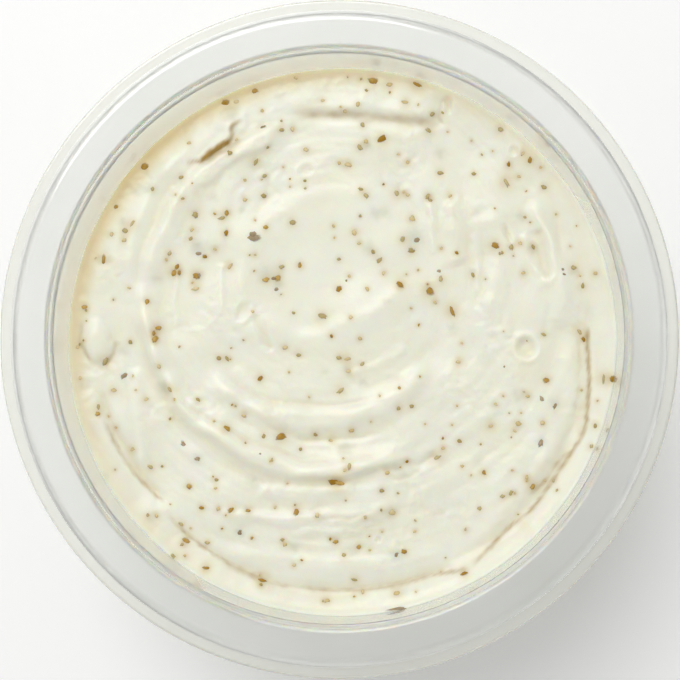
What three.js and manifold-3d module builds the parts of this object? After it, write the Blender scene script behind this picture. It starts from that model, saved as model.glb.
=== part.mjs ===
// A round plastic dip tub, filled with swirled aioli that is speckled with dried herbs.
// Millimetres, +Z up. The origin is the centre of the foot, on the surface that the tub stands on.
import * as THREE from "three";
import { mergeVertices } from "three/addons/utils/BufferGeometryUtils.js";
import Module from "manifold-3d";

const wasm = await Module();
wasm.setup();

const { degToRad, euclideanModulo, lerp, radToDeg, smoothstep } = THREE.MathUtils;
const QUARTER = Math.PI / 2;
const GOLDEN_ANGLE = 2.4;
const MERGE_DISTANCE = 1e-4;

// ---------------------------------------------------------------- tub sizes
const TUB_HEIGHT = 46;
const WALL = 0.7; // of the side and the floor
const DRAFT = degToRad(10); // lean of the side wall, so that tubs nest

const LIP_RADIUS = 50.5; // outermost edge, where a lid snaps on
const LIP_DROP = 2.1; // the lip's top lies this far below the flange
const LIP_THICKNESS = 0.8; // its edge is a half round

const SKIRT_RADIUS = 49.1; // outside of the ring that joins flange and lip
const SHOULDER = 0.7; // rounding between flange and skirt
const FLANGE_THICKNESS = 0.8;
const NECK_RADIUS = 43.9; // inside, at the top
const NECK_ROUND = 0.45;
const NECK_DEPTH = 2.8; // outside, the neck widens this far below the flange

const LEDGE_DROP = 1.6; // the stacking ledge lies this far below the flange
const LEDGE_RADIUS = 42.7; // inner edge of the ledge, where the side wall starts
const LEDGE_ROUND = 0.35;

const FLOOR_LEVEL = 1.8; // top of the floor
const FLOOR_RECESS = FLOOR_LEVEL - WALL; // the floor is raised off the foot ring by this
const INNER_CORNER = 3.2;
const OUTER_CORNER = 2.6;
const FOOT_WIDTH = 2.4; // flat ring that the tub stands on

const TUB_SEGMENTS = 64;
const ARC_DIVISIONS = 2; // a path's arc gets twice as many steps

// ---------------------------------------------------------------- aioli sizes
const CLEARANCE = 0.3; // between the aioli and the tub
const FILL_LEVEL = 36.4; // mean height of the aioli's surface
const EDGE_BAND = 4.5; // width of the smear that climbs the wall
const EDGE_CALM = 1.6; // the strokes die out over this width beside the wall
const EDGE_RISE = 0.5; // mean climb
const EDGE_SWING = 1.1; // the climb is this much higher on one side, and lower on the other
const EDGE_HIGH = degToRad(-45); // direction of the high side

const AIOLI_RINGS = 28;
const AIOLI_SECTORS = 90;

// The spoon's strokes. Each is a raised lip, or a furrow where the height is negative, that runs
// along a stretch of spiral about a centre. Angles are in degrees from +X, the rest in mm: radius at
// the start and at the end, bulge of the line between them, height, and the half widths of the
// flanks towards the centre and away from it.
const SWIRL = [-0.65, 9.7];
const AXIS = [0, 0];
const STROKES = [
  // about, from, sweep, start, end, bulge, height, inner, outer
  [SWIRL, 196, 166, 14.2, 10.0, -4.2, 0.5, 1.5, 2.6], // rim of the pool in the middle, below
  [SWIRL, 62, 160, 13.4, 15.6, -0.9, 0.35, 1.6, 1.3], // and above
  [SWIRL, 214, 104, 24.2, 18.9, 0.3, 0.8, 1.8, 1.5], // second turn
  [SWIRL, 108, 76, 23.6, 28.6, -0.4, 0.8, 2.0, 1.1], // great ridge, upper left
  [SWIRL, 172, 140, 28.4, 28.2, 1.9, 1.25, 2.2, 1.1], // great ridge, left and below
  [SWIRL, 140, 60, 30.2, 30.6, 0.8, 0.45, 1.3, 1.3], // its neighbour
  [SWIRL, 248, 28, 33.6, 31.9, 0, 0.4, 0.9, 1.3], // short lips below it
  [SWIRL, 242, 44, 39.6, 35.6, -1.0, 0.45, 0.9, 1.3],
  [SWIRL, 4, 32, 18.2, 20.6, -0.4, 0.5, 1.5, 1.5], // on the right
  [SWIRL, 345, 40, 23.5, 24.5, 0.5, 0.45, 1.6, 1.8],
  [AXIS, 236, 62, 36.6, 35.6, -2.4, 0.35, 1.4, 1.4], // near the wall, below
  [AXIS, 239, 60, 38.3, 38.6, -0.9, -0.75, 0.9, 0.9],
  [AXIS, 296, 70, 39.0, 36.6, 0.7, -1.0, 0.9, 0.7], // to the lower right
  [AXIS, 300, 62, 36.6, 34.6, 0.3, 0.4, 1.3, 1.0],
  [AXIS, 2, 36, 33.6, 35.4, -0.2, 0.6, 1.5, 0.8], // right
  [AXIS, 190, 34, 36.8, 36.8, -0.6, -0.55, 0.8, 0.8], // left
  [AXIS, 187, 26, 31.2, 35.4, -0.6, 0.4, 1.0, 1.0],
  [AXIS, 67, 44, 38.2, 35.4, -1.3, 1.0, 1.0, 2.4], // and on top
  [AXIS, 66, 46, 35.1, 34.1, -0.4, -0.5, 0.8, 0.9],
];
const STROKE_FADE = 0.14; // share of a stroke's sweep over which each end dies out

// Slow unevenness of the surface, and the wandering of the strokes from their spirals:
// crossing waves of a longest length, a greatest height and a first direction.
const WAVES = 7;
const WAVE_SHORTENING = 0.35; // wave k is 1 + 0.35 k times shorter than the first
const WAVE_LOWERING = 0.5; // and 1 + 0.5 k times lower
const WAVE_SHIFT = 1.7; // radians by which each starts after the one before
const UNEVEN = { length: 23, height: 0.14, turn: 0 };
const WANDER_X = { length: 17, height: 0.22, turn: 0.9 };
const WANDER_Y = { length: 17, height: 0.22, turn: 2.1 };

// Dried herbs, each a low lens half sunk in the surface
const FLECK_THICKNESS = 0.6;
const FLECK_SINK = 0.12; // its middle lies this far under the surface
// the largest: x, y, length, width, and turn in degrees
const LARGE_FLECKS = [
  [-1.0, -21.1, 2.6, 1.8, -10],
  [-10.0, 10.0, 3.0, 1.4, 10],
  [-13.5, 16.1, 2.4, 1.7, -15],
  [5.0, 39.4, 2.9, 1.3, -15],
  [8.6, -39.4, 3.4, 0.8, 8],
  [-28.4, 1.5, 2.4, 1.4, 60],
  [16.6, 4.8, 2.1, 1.0, -65],
  [36.3, 0.6, 2.1, 0.9, -70],
  [-32.6, 17.4, 2.0, 1.2, 40],
  [-17.5, -13.2, 1.9, 1.5, -50],
  [-17.0, 36.2, 1.9, 1.4, 30],
  [8.9, 8.5, 1.8, 1.0, -55],
  [-25.6, 10.6, 1.8, 1.4, 20],
  [-9.3, -14.2, 1.7, 1.2, 25],
  [6.0, 30.6, 1.7, 1.2, 20],
  [13.1, 7.9, 1.7, 1.3, -40],
  [-22.2, 10.3, 1.6, 1.1, 85],
  [18.4, -34.5, 1.6, 1.0, 0],
];
// and the rest, strewn
const FLECK_COUNT = 42;
const FLECK_LENGTH = [0.8, 1.5];
const FLECK_SLENDER = [0.55, 0.95]; // width over length
const FLECK_REACH = 38; // none lies further from the axis
const SEED = 20;

// ---------------------------------------------------------------- helpers
// A linear congruential generator: the next number from 0 to 1, from a named start.
function generator(seed) {
  let state = seed;
  return () => {
    state = (1664525 * state + 1013904223) % 2 ** 32;
    return state / 2 ** 32;
  };
}

// A closed mesh as a solid, with its shared vertices merged and its collapsed triangles dropped.
function solidOf(geometry) {
  const bare = new THREE.BufferGeometry();
  bare.setAttribute("position", geometry.getAttribute("position"));
  bare.setIndex(geometry.index);
  const merged = mergeVertices(bare, MERGE_DISTANCE);
  const triangles = [];
  const index = merged.index.array;
  for (let i = 0; i < index.length; i += 3) {
    const [a, b, c] = index.subarray(i, i + 3);
    if (a !== b && b !== c && c !== a) triangles.push(a, b, c);
  }
  return new wasm.Manifold(
    new wasm.Mesh({
      numProp: 3,
      vertProperties: merged.getAttribute("position").array,
      triVerts: new Uint32Array(triangles),
    }),
  );
}

// A solid as a geometry that three.js can draw.
function geometryOf(solid) {
  const mesh = solid.getMesh();
  const geometry = new THREE.BufferGeometry();
  geometry.setAttribute("position", new THREE.BufferAttribute(mesh.vertProperties, 3));
  geometry.setIndex(new THREE.BufferAttribute(mesh.triVerts, 1));
  geometry.computeVertexNormals();
  return geometry;
}

// Turns a profile of (radius, height) about +Z.
function revolve(profile, segments) {
  return new THREE.LatheGeometry(profile, segments).rotateX(QUARTER);
}

// ---------------------------------------------------------------- tub
const LEDGE_LEVEL = TUB_HEIGHT - LEDGE_DROP;
const WALL_TOP = LEDGE_LEVEL - LEDGE_ROUND;

// Radius of the side wall's inner face at a height.
function insideRadius(z) {
  return LEDGE_RADIUS - (WALL_TOP - z) * Math.tan(DRAFT);
}

// Centre of an arc that rounds the corner between a floor at a height and the side wall,
// when the wall's face lies outside its inner face by a distance.
function cornerCentre(floor, radius, outside) {
  const z = floor + radius;
  return [insideRadius(z) + (outside - radius) / Math.cos(DRAFT), z];
}

function tubProfile() {
  const path = new THREE.Path();
  const [footCentre, footLevel] = cornerCentre(0, OUTER_CORNER, WALL);
  const [floorCentre, floorLevel] = cornerCentre(FLOOR_LEVEL, INNER_CORNER, 0);
  const neckOuter = NECK_RADIUS + WALL;
  const stepLevel = TUB_HEIGHT - NECK_DEPTH;
  const lipRound = LIP_THICKNESS / 2;
  const lipLevel = TUB_HEIGHT - LIP_DROP - lipRound;

  // underside, foot ring and outer face of the side
  path.moveTo(0, FLOOR_RECESS);
  path.lineTo(footCentre - FOOT_WIDTH - FLOOR_RECESS, FLOOR_RECESS);
  path.lineTo(footCentre - FOOT_WIDTH, 0);
  path.lineTo(footCentre, 0);
  path.absarc(footCentre, footLevel, OUTER_CORNER, -QUARTER, -DRAFT, false);
  path.lineTo(insideRadius(stepLevel) + WALL / Math.cos(DRAFT), stepLevel);
  path.lineTo(neckOuter, stepLevel + WALL);

  // underside of the flange, skirt and lip
  path.lineTo(neckOuter, TUB_HEIGHT - FLANGE_THICKNESS);
  path.lineTo(SKIRT_RADIUS - FLANGE_THICKNESS, TUB_HEIGHT - FLANGE_THICKNESS);
  path.lineTo(SKIRT_RADIUS - FLANGE_THICKNESS, lipLevel - lipRound);
  path.absarc(LIP_RADIUS - lipRound, lipLevel, lipRound, -QUARTER, QUARTER, false);
  path.lineTo(SKIRT_RADIUS, lipLevel + lipRound);

  // shoulder, flat flange and neck
  path.absarc(SKIRT_RADIUS - SHOULDER, TUB_HEIGHT - SHOULDER, SHOULDER, 0, QUARTER, false);
  path.absarc(NECK_RADIUS + NECK_ROUND, TUB_HEIGHT - NECK_ROUND, NECK_ROUND, QUARTER, Math.PI, false);
  path.lineTo(NECK_RADIUS, LEDGE_LEVEL);

  // ledge, inner face of the side and floor
  path.absarc(LEDGE_RADIUS + LEDGE_ROUND, WALL_TOP, LEDGE_ROUND, QUARTER, Math.PI, false);
  path.absarc(floorCentre, floorLevel, INNER_CORNER, -DRAFT, -QUARTER, true);
  path.lineTo(0, FLOOR_LEVEL);
  return path.getPoints(ARC_DIVISIONS);
}

function makeTub() {
  const solid = solidOf(revolve(tubProfile(), TUB_SEGMENTS));
  const plastic = new THREE.MeshStandardMaterial({
    color: 0xe3e7e3,
    roughness: 0.25,
    metalness: 0,
    transparent: true,
    opacity: 0.5,
  });
  const tub = new THREE.Mesh(geometryOf(solid), plastic);
  tub.name = "tub";
  return tub;
}

// ---------------------------------------------------------------- aioli
// Height that one stroke adds at a point: a bell across the stroke, steeper on one side.
function strokeHeight([about, from, sweep, start, end, bulge, height, inner, outer], x, y) {
  const [cx, cy] = about;
  const turned = radToDeg(Math.atan2(y - cy, x - cx)) - from;
  const along = euclideanModulo(turned, 360) / sweep;
  if (along > 1) return 0;
  const line = lerp(start, end, along) + bulge * Math.sin(Math.PI * along);
  const off = Math.hypot(x - cx, y - cy) - line;
  const ends = smoothstep(along, 0, STROKE_FADE) * smoothstep(1 - along, 0, STROKE_FADE);
  return height * ends * Math.exp(-((off / (off < 0 ? inner : outer)) ** 2));
}

// Crossing waves, each shorter and lower than the one before and turned by the golden angle.
function waves({ length, height, turn }, x, y) {
  let sum = 0;
  for (let k = 0; k < WAVES; k++) {
    const way = turn + GOLDEN_ANGLE * k;
    const distance = (x * Math.cos(way) + y * Math.sin(way)) * (1 + WAVE_SHORTENING * k);
    const crest = height / (1 + WAVE_LOWERING * k);
    sum += crest * Math.sin((2 * Math.PI * distance) / length + WAVE_SHIFT * k);
  }
  return sum;
}

// Climb of the aioli at the wall, in the direction of a point.
function edgeClimb(angle) {
  return EDGE_RISE + EDGE_SWING * Math.cos(angle - EDGE_HIGH);
}

// Height of the aioli's surface above the foot.
function surfaceHeight(x, y) {
  const wall = insideRadius(FILL_LEVEL);
  const radius = Math.hypot(x, y);
  const near = smoothstep(radius, wall - EDGE_BAND, wall);
  const calm = smoothstep(radius, wall - EDGE_CALM, wall);
  const u = x + waves(WANDER_X, x, y);
  const v = y + waves(WANDER_Y, x, y);
  const strokes = STROKES.reduce((sum, stroke) => sum + strokeHeight(stroke, u, v), 0);
  const climb = near * edgeClimb(Math.atan2(y, x));
  return FILL_LEVEL + climb + (1 - near) * waves(UNEVEN, x, y) + (1 - calm) * strokes;
}

// The aioli without its herbs: a plug that fits the tub, with the swirled surface on top.
function aioliBody() {
  const [cornerRadius, cornerLevel] = cornerCentre(FLOOR_LEVEL, INNER_CORNER, 0);
  const path = new THREE.Path();
  path.moveTo(0, FLOOR_LEVEL + CLEARANCE);
  path.lineTo(cornerRadius, FLOOR_LEVEL + CLEARANCE);
  path.absarc(cornerRadius, cornerLevel, INNER_CORNER - CLEARANCE, -QUARTER, -DRAFT, false);
  const profile = path.getPoints(ARC_DIVISIONS);
  const firstRing = profile.length;
  for (let ring = AIOLI_RINGS; ring >= 0; ring--) profile.push(new THREE.Vector2(ring / AIOLI_RINGS, 0));

  // The rings reach from unit radius inwards: each vertex now goes to its place on the surface.
  const geometry = revolve(profile, AIOLI_SECTORS);
  const position = geometry.getAttribute("position");
  for (let i = 0; i < position.count; i++) {
    const ring = firstRing + AIOLI_RINGS - (i % profile.length);
    if (ring > AIOLI_RINGS) continue;
    const angle = Math.atan2(position.getY(i), position.getX(i));
    const edge = insideRadius(FILL_LEVEL + edgeClimb(angle)) - CLEARANCE / Math.cos(DRAFT);
    const radius = (edge * ring) / AIOLI_RINGS;
    const x = ring ? radius * Math.cos(angle) : 0;
    const y = ring ? radius * Math.sin(angle) : 0;
    position.setXYZ(i, x, y, surfaceHeight(x, y));
  }
  return solidOf(geometry);
}

// Direction that the surface faces at a point, from its slopes over a short step.
function surfaceNormal(x, y) {
  const step = 0.2;
  const slopeX = (surfaceHeight(x + step, y) - surfaceHeight(x - step, y)) / (2 * step);
  const slopeY = (surfaceHeight(x, y + step) - surfaceHeight(x, y - step)) / (2 * step);
  return new THREE.Vector3(-slopeX, -slopeY, 1).normalize();
}

// One flake of herb, lying in the surface.
function fleck(x, y, length, width, turn) {
  const normal = surfaceNormal(x, y);
  const place = new THREE.Object3D();
  place.position.set(x, y, surfaceHeight(x, y)).addScaledVector(normal, -FLECK_SINK);
  place.quaternion.setFromUnitVectors(new THREE.Vector3(0, 0, 1), normal);
  place.rotateZ(turn);
  place.scale.set(length / 2, width / 2, FLECK_THICKNESS / 2);
  place.updateMatrix();
  return solidOf(new THREE.IcosahedronGeometry(1, 0).applyMatrix4(place.matrix));
}

function largeFlecks() {
  return LARGE_FLECKS.map(([x, y, length, width, turn]) => fleck(x, y, length, width, degToRad(turn)));
}

function strewnFlecks() {
  const random = generator(SEED);
  const between = ([low, high]) => low + (high - low) * random();
  return Array.from({ length: FLECK_COUNT }, () => {
    const radius = FLECK_REACH * Math.sqrt(random());
    const angle = 2 * Math.PI * random();
    const length = between(FLECK_LENGTH);
    const width = length * between(FLECK_SLENDER);
    return fleck(radius * Math.cos(angle), radius * Math.sin(angle), length, width, Math.PI * random());
  });
}

function makeAioli() {
  const solid = wasm.Manifold.union([aioliBody(), ...largeFlecks(), ...strewnFlecks()]);
  const cream = new THREE.MeshStandardMaterial({ color: 0xefecd8, roughness: 0.35, metalness: 0 });
  const aioli = new THREE.Mesh(geometryOf(solid), cream);
  aioli.name = "aioli";
  return aioli;
}

const dipTub = new THREE.Group();
dipTub.add(makeTub(), makeAioli());

export default dipTub;
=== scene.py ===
"""Looks of a round clear plastic dip tub, filled with swirled aioli that is flecked with dried herbs.

Sizes are in millimetres, and a mesh gets its points in metres. +Z is up, the tub's axis is the
Z axis, and the camera looks down at it, with +Y at the top of the picture.
"""

from __future__ import annotations

import logging
import math
from dataclasses import dataclass, field
from enum import Enum

import bpy
import numpy as np
from mathutils import Matrix, Vector


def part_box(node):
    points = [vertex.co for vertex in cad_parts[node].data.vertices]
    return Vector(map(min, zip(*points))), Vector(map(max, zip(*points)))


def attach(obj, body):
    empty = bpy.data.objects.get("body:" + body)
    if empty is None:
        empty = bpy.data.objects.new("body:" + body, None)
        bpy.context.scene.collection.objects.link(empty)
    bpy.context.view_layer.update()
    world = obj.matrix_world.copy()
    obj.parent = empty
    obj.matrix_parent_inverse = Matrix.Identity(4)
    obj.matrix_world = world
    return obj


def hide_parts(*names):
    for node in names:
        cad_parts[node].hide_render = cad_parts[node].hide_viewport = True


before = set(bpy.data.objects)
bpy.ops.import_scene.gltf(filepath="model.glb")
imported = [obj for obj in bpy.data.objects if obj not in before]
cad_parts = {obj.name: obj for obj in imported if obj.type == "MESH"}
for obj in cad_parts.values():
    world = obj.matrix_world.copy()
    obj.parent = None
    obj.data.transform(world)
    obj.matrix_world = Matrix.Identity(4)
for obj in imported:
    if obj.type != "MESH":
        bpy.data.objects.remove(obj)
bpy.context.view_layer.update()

log = logging.getLogger("aioli")

MM = 0.001
FULL_TURN = 2 * math.pi
GOLDEN_ANGLE = 2.4
ROOT = "root"

Array = np.ndarray
Colour = tuple[float, float, float]
Point = tuple[float, float]

# the curve of screen colours
SCREEN_KNEE = 0.04045
SCREEN_SLOPE = 12.92
SCREEN_LIFT = 0.055
SCREEN_POWER = 2.4

# numbers that scatter the directions of the noise, and what brings it to between -1 and 1
SCATTER_I = 127.1
SCATTER_J = 311.7
SCATTER_SEED = 74.7
SCATTER_GAIN = 43758.5453
NOISE_GAIN = 1.5


# ------------------------------------------------------------------ numbers
def linear(red: int, green: int, blue: int) -> Colour:
    """Turns a colour of 0 to 255, as a screen shows it, into the linear one that shaders use.

    Args:
        red: Red, 0 to 255.
        green: Green, 0 to 255.
        blue: Blue, 0 to 255.

    Returns:
        The three linear parts, 0 to 1.
    """
    parts = np.array([red, green, blue]) / 255
    curved = ((parts + SCREEN_LIFT) / (1 + SCREEN_LIFT)) ** SCREEN_POWER
    return tuple(float(p) for p in np.where(parts > SCREEN_KNEE, curved, parts / SCREEN_SLOPE))


def opaque(colour: Colour) -> tuple[float, float, float, float]:
    """The colour with full alpha, as colour sockets take it."""
    return (*colour, 1.0)


def smooth(value: Array, low: float, high: float) -> Array:
    """Rises from 0 at low to 1 at high along the cubic 3t^2 - 2t^3."""
    share = np.clip((value - low) / (high - low), 0, 1)
    return share * share * (3 - 2 * share)


def lattice_angle(i: Array, j: Array, seed: int) -> Array:
    """A direction for each lattice point: the fraction of a large sine, times a full turn."""
    wave = np.sin(i * SCATTER_I + j * SCATTER_J + seed * SCATTER_SEED) * SCATTER_GAIN
    return (wave - np.floor(wave)) * FULL_TURN


def noise(u: Array, v: Array, seed: int) -> Array:
    """Gradient noise, from about -1 to 1, with features one unit across.

    Each lattice point has a slope in its own direction. The four slopes round a point are
    followed to it and blended by the quintic 6t^5 - 15t^4 + 10t^3.

    Args:
        u: First coordinate, in features.
        v: Second coordinate, in features.
        seed: Picks one of the patterns.

    Returns:
        The noise at each point.
    """
    i, j = np.floor(u), np.floor(v)
    fu, fv = u - i, v - j
    su = fu * fu * fu * (fu * (fu * 6 - 15) + 10)
    sv = fv * fv * fv * (fv * (fv * 6 - 15) + 10)

    def slope(di: int, dj: int) -> Array:
        """Height at the point of the plane through one lattice corner."""
        angle = lattice_angle(i + di, j + dj, seed)
        return np.cos(angle) * (fu - di) + np.sin(angle) * (fv - dj)

    near = slope(0, 0) * (1 - su) + slope(1, 0) * su
    far = slope(0, 1) * (1 - su) + slope(1, 1) * su
    return NOISE_GAIN * (near * (1 - sv) + far * sv)


@dataclass(frozen=True)
class Layer:
    """One layer of noise with round features."""

    height: float
    size: float
    seed: int

    def at(self, x: Array, y: Array) -> Array:
        """height * noise(x / size, y / size), in the pattern that the seed picks."""
        return self.height * noise(x / self.size, y / self.size, self.seed)


@dataclass(frozen=True)
class Waves:
    """Crossing waves, each shorter and lower than the one before and turned by the golden angle."""

    length: float
    height: float
    turn: float
    count: int = 7
    shortening: float = 0.35
    lowering: float = 0.5
    shift: float = 1.7

    def at(self, x: Array, y: Array) -> Array:
        """Sum over k of height / (1 + k/2) * sin(2 pi * distance (1 + 0.35 k) / length + 1.7 k).

        Args:
            x: X of each point, in mm.
            y: Y of each point, in mm.

        Returns:
            Height of the waves at each point, in mm.
        """
        total = np.zeros_like(x)
        for k in range(self.count):
            way = self.turn + GOLDEN_ANGLE * k
            distance = (x * math.cos(way) + y * math.sin(way)) * (1 + self.shortening * k)
            crest = self.height / (1 + self.lowering * k)
            total += crest * np.sin(FULL_TURN * distance / self.length + self.shift * k)
        return total


@dataclass(frozen=True)
class Photograph:
    """How the aioli's level lies in the 680 pixel photograph."""

    centre: Point = (340.7, 340.2)
    scale: float = 0.1507

    def place(self, pixels: Array) -> Array:
        """Points on the aioli, in mm, under pixels: right is +X and up is +Y."""
        return (pixels - np.array(self.centre)) * np.array([self.scale, -self.scale])


PHOTO = Photograph()


# ------------------------------------------------------------------ mesh helpers
def sheet_faces(rows: int, columns: int, first: int = 0, closed: bool = False) -> Array:
    """Quads over a grid of points that is stored row by row.

    Args:
        rows: Number of rows of points.
        columns: Number of points in a row.
        first: Index of the first point.
        closed: True if the last column joins the first.

    Returns:
        One row of four indices for each quad.
    """
    steps = np.arange(columns if closed else columns - 1)
    row, column = np.meshgrid(np.arange(rows - 1), steps, indexing="ij")
    after = (column + 1) % columns
    here, above = row * columns, (row + 1) * columns
    corners = [here + column, here + after, above + after, above + column]
    return first + np.stack([c.ravel() for c in corners], axis=1)


def fan_faces(ring: Array, tip: int) -> Array:
    """Triangles from a closed ring of points to a tip, in the ring's own order."""
    return np.stack([ring, np.roll(ring, -1), np.full(len(ring), tip)], axis=1)


def make_piece(name: str, points: Array, quads: Array, triangles: Array) -> bpy.types.Object:
    """Puts points and faces into a new smooth mesh object at the origin.

    Args:
        name: Name of the object.
        points: One row of x, y, z for each point, in mm.
        quads: One row of four point indices for each quad.
        triangles: One row of three point indices for each triangle.

    Returns:
        The object, linked to the scene.
    """
    mesh = bpy.data.meshes.new(name)
    mesh.vertices.add(len(points))
    mesh.vertices.foreach_set("co", (points * MM).astype(np.float32).ravel())
    corners = np.concatenate([quads.ravel(), triangles.ravel()]).astype(np.int32)
    sizes = np.concatenate([np.full(len(quads), 4), np.full(len(triangles), 3)])
    starts = np.concatenate([[0], np.cumsum(sizes)[:-1]]).astype(np.int32)
    mesh.loops.add(len(corners))
    mesh.loops.foreach_set("vertex_index", corners)
    mesh.polygons.add(len(sizes))
    mesh.polygons.foreach_set("loop_start", starts)
    mesh.polygons.foreach_set("use_smooth", np.ones(len(sizes), dtype=bool))
    mesh.update(calc_edges=True)
    mesh.validate()
    piece = bpy.data.objects.new(name, mesh)
    bpy.context.scene.collection.objects.link(piece)
    return piece


def paint(piece: bpy.types.Object, name: str, values: Array) -> None:
    """Stores one number for each point as a named attribute.

    Args:
        piece: The object whose mesh gets the attribute.
        name: Name that the material reads.
        values: One number for each point.
    """
    attribute = piece.data.attributes.new(name, "FLOAT", "POINT")
    attribute.data.foreach_set("value", values.astype(np.float32))


# ------------------------------------------------------------------ finishes
class Wiring:
    """A node tree with short calls for adding nodes and joining them."""

    def __init__(self, tree: bpy.types.NodeTree) -> None:
        """Starts with an empty tree."""
        self.tree = tree
        tree.nodes.clear()

    def add(self, kind: str, **values: object) -> bpy.types.Node:
        """Adds a node and sets its properties.

        Args:
            kind: Blender's name of the node type.
            **values: Properties of the node.

        Returns:
            The node.
        """
        node = self.tree.nodes.new(kind)
        for name, value in values.items():
            setattr(node, name, value)
        return node

    def feed(self, socket: bpy.types.NodeSocket, source: object) -> None:
        """Joins a socket to an output, or gives it a plain value.

        Args:
            socket: The input that is fed.
            source: An output, or a value.
        """
        if isinstance(source, bpy.types.NodeSocket):
            self.tree.links.new(source, socket)
        else:
            socket.default_value = source

    def math(self, operation: str, *sources: object) -> bpy.types.NodeSocket:
        """Adds a Math node.

        Args:
            operation: Blender's name of the operation.
            *sources: Outputs or numbers for its inputs.

        Returns:
            The node's output.
        """
        node = self.add("ShaderNodeMath", operation=operation)
        for socket, source in zip(node.inputs, sources):
            self.feed(socket, source)
        return node.outputs[0]

    def blend(self, share: object, first: object, second: object) -> bpy.types.NodeSocket:
        """Mixes two colours.

        Args:
            share: How much of the second colour there is, 0 to 1.
            first: Colour at a share of 0.
            second: Colour at a share of 1.

        Returns:
            The mixed colour.
        """
        node = self.add("ShaderNodeMix", data_type="RGBA")
        self.feed(node.inputs["Factor"], share)
        self.feed(node.inputs[6], first)
        self.feed(node.inputs[7], second)
        return node.outputs[2]

    def between(self, value: object, low: object, high: object) -> bpy.types.NodeSocket:
        """Maps 0 to 1 onto low to high.

        Args:
            value: The number that is mapped.
            low: Result at 0.
            high: Result at 1.

        Returns:
            The mapped number.
        """
        node = self.add("ShaderNodeMapRange")
        self.feed(node.inputs["Value"], value)
        self.feed(node.inputs["To Min"], low)
        self.feed(node.inputs["To Max"], high)
        return node.outputs[0]

    def mask(self, name: str) -> bpy.types.NodeSocket:
        """The number that the mesh carries under a name for each point."""
        return self.add("ShaderNodeAttribute", attribute_name=name).outputs["Fac"]

    def bump(self, height: bpy.types.NodeSocket, distance: float, strength: float) -> bpy.types.NodeSocket:
        """Turns a height of 0 to 1 into a normal.

        Args:
            height: The height.
            distance: Real height of 1, in mm.
            strength: How much of it shows.

        Returns:
            The bent normal.
        """
        node = self.add("ShaderNodeBump")
        node.inputs["Distance"].default_value = distance * MM
        node.inputs["Strength"].default_value = strength
        self.feed(node.inputs["Height"], height)
        return node.outputs[0]


# takes the 0.3 to 0.7 that noise mostly holds to 0 to 1
PATCH_CONTRAST = (-0.75, 1.75)


@dataclass(frozen=True)
class SurfaceGrain:
    """The fine unevenness that every finish here has: patches of tint and gloss, and a low grain.

    The scale is in patches for each mm, and the fineness says how many times smaller the grain is.
    """

    scale: float
    detail: float
    amount: float
    smoothest: float
    roughest: float
    fineness: float = 5.0

    @staticmethod
    def group() -> bpy.types.NodeTree:
        """The shader node group, built once.

        Returns:
            The group, new or from an earlier call.
        """
        name = "surface_grain"
        if name in bpy.data.node_groups:
            return bpy.data.node_groups[name]
        tree = bpy.data.node_groups.new(name, "ShaderNodeTree")
        wiring = Wiring(tree)
        for label, kind in (
            ("Vector", "NodeSocketVector"),
            ("Base", "NodeSocketColor"),
            ("Tint", "NodeSocketColor"),
            ("Amount", "NodeSocketFloat"),
            ("Scale", "NodeSocketFloat"),
            ("Detail", "NodeSocketFloat"),
            ("Fineness", "NodeSocketFloat"),
            ("Smoothest", "NodeSocketFloat"),
            ("Roughest", "NodeSocketFloat"),
        ):
            tree.interface.new_socket(name=label, in_out="INPUT", socket_type=kind)
        for label, kind in (
            ("Color", "NodeSocketColor"),
            ("Roughness", "NodeSocketFloat"),
            ("Height", "NodeSocketFloat"),
        ):
            tree.interface.new_socket(name=label, in_out="OUTPUT", socket_type=kind)
        given = wiring.add("NodeGroupInput").outputs
        wanted = wiring.add("NodeGroupOutput").inputs
        patches = wiring.add("ShaderNodeTexNoise")
        wiring.feed(patches.inputs["Vector"], given["Vector"])
        wiring.feed(patches.inputs["Scale"], given["Scale"])
        wiring.feed(patches.inputs["Detail"], given["Detail"])
        share = wiring.between(patches.outputs["Fac"], *PATCH_CONTRAST)
        share = wiring.math("MULTIPLY", share, given["Amount"])
        wiring.feed(wanted["Color"], wiring.blend(share, given["Base"], given["Tint"]))
        gloss = wiring.between(patches.outputs["Fac"], given["Smoothest"], given["Roughest"])
        wiring.feed(wanted["Roughness"], gloss)
        grain = wiring.add("ShaderNodeTexNoise")
        wiring.feed(grain.inputs["Vector"], given["Vector"])
        wiring.feed(grain.inputs["Scale"], wiring.math("MULTIPLY", given["Scale"], given["Fineness"]))
        wiring.feed(grain.inputs["Detail"], given["Detail"])
        wiring.feed(wanted["Height"], grain.outputs["Fac"])
        return tree

    def place(self, wiring: Wiring, base: object, tint: object) -> bpy.types.bpy_prop_collection:
        """Puts the group into a material.

        Args:
            wiring: The material's tree.
            base: Main colour.
            tint: Colour of the patches.

        Returns:
            The group's outputs: Color, Roughness and Height.
        """
        node = wiring.add("ShaderNodeGroup", node_tree=self.group())
        values = {
            "Vector": wiring.add("ShaderNodeTexCoord").outputs["Object"],
            "Base": base,
            "Tint": tint,
            "Amount": self.amount,
            "Scale": self.scale / MM,
            "Detail": self.detail,
            "Fineness": self.fineness,
            "Smoothest": self.smoothest,
            "Roughest": self.roughest,
        }
        for name, value in values.items():
            wiring.feed(node.inputs[name], value)
        return node.outputs


def new_material(name: str) -> tuple[bpy.types.Material, Wiring]:
    """Starts a material with an empty node tree.

    Args:
        name: Name of the material.

    Returns:
        The material and its wiring.
    """
    material = bpy.data.materials.new(name)
    material.use_nodes = True
    return material, Wiring(material.node_tree)


def dress(piece: bpy.types.Object, material: bpy.types.Material) -> None:
    """Gives a piece its one material."""
    piece.data.materials.clear()
    piece.data.materials.append(material)


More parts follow.
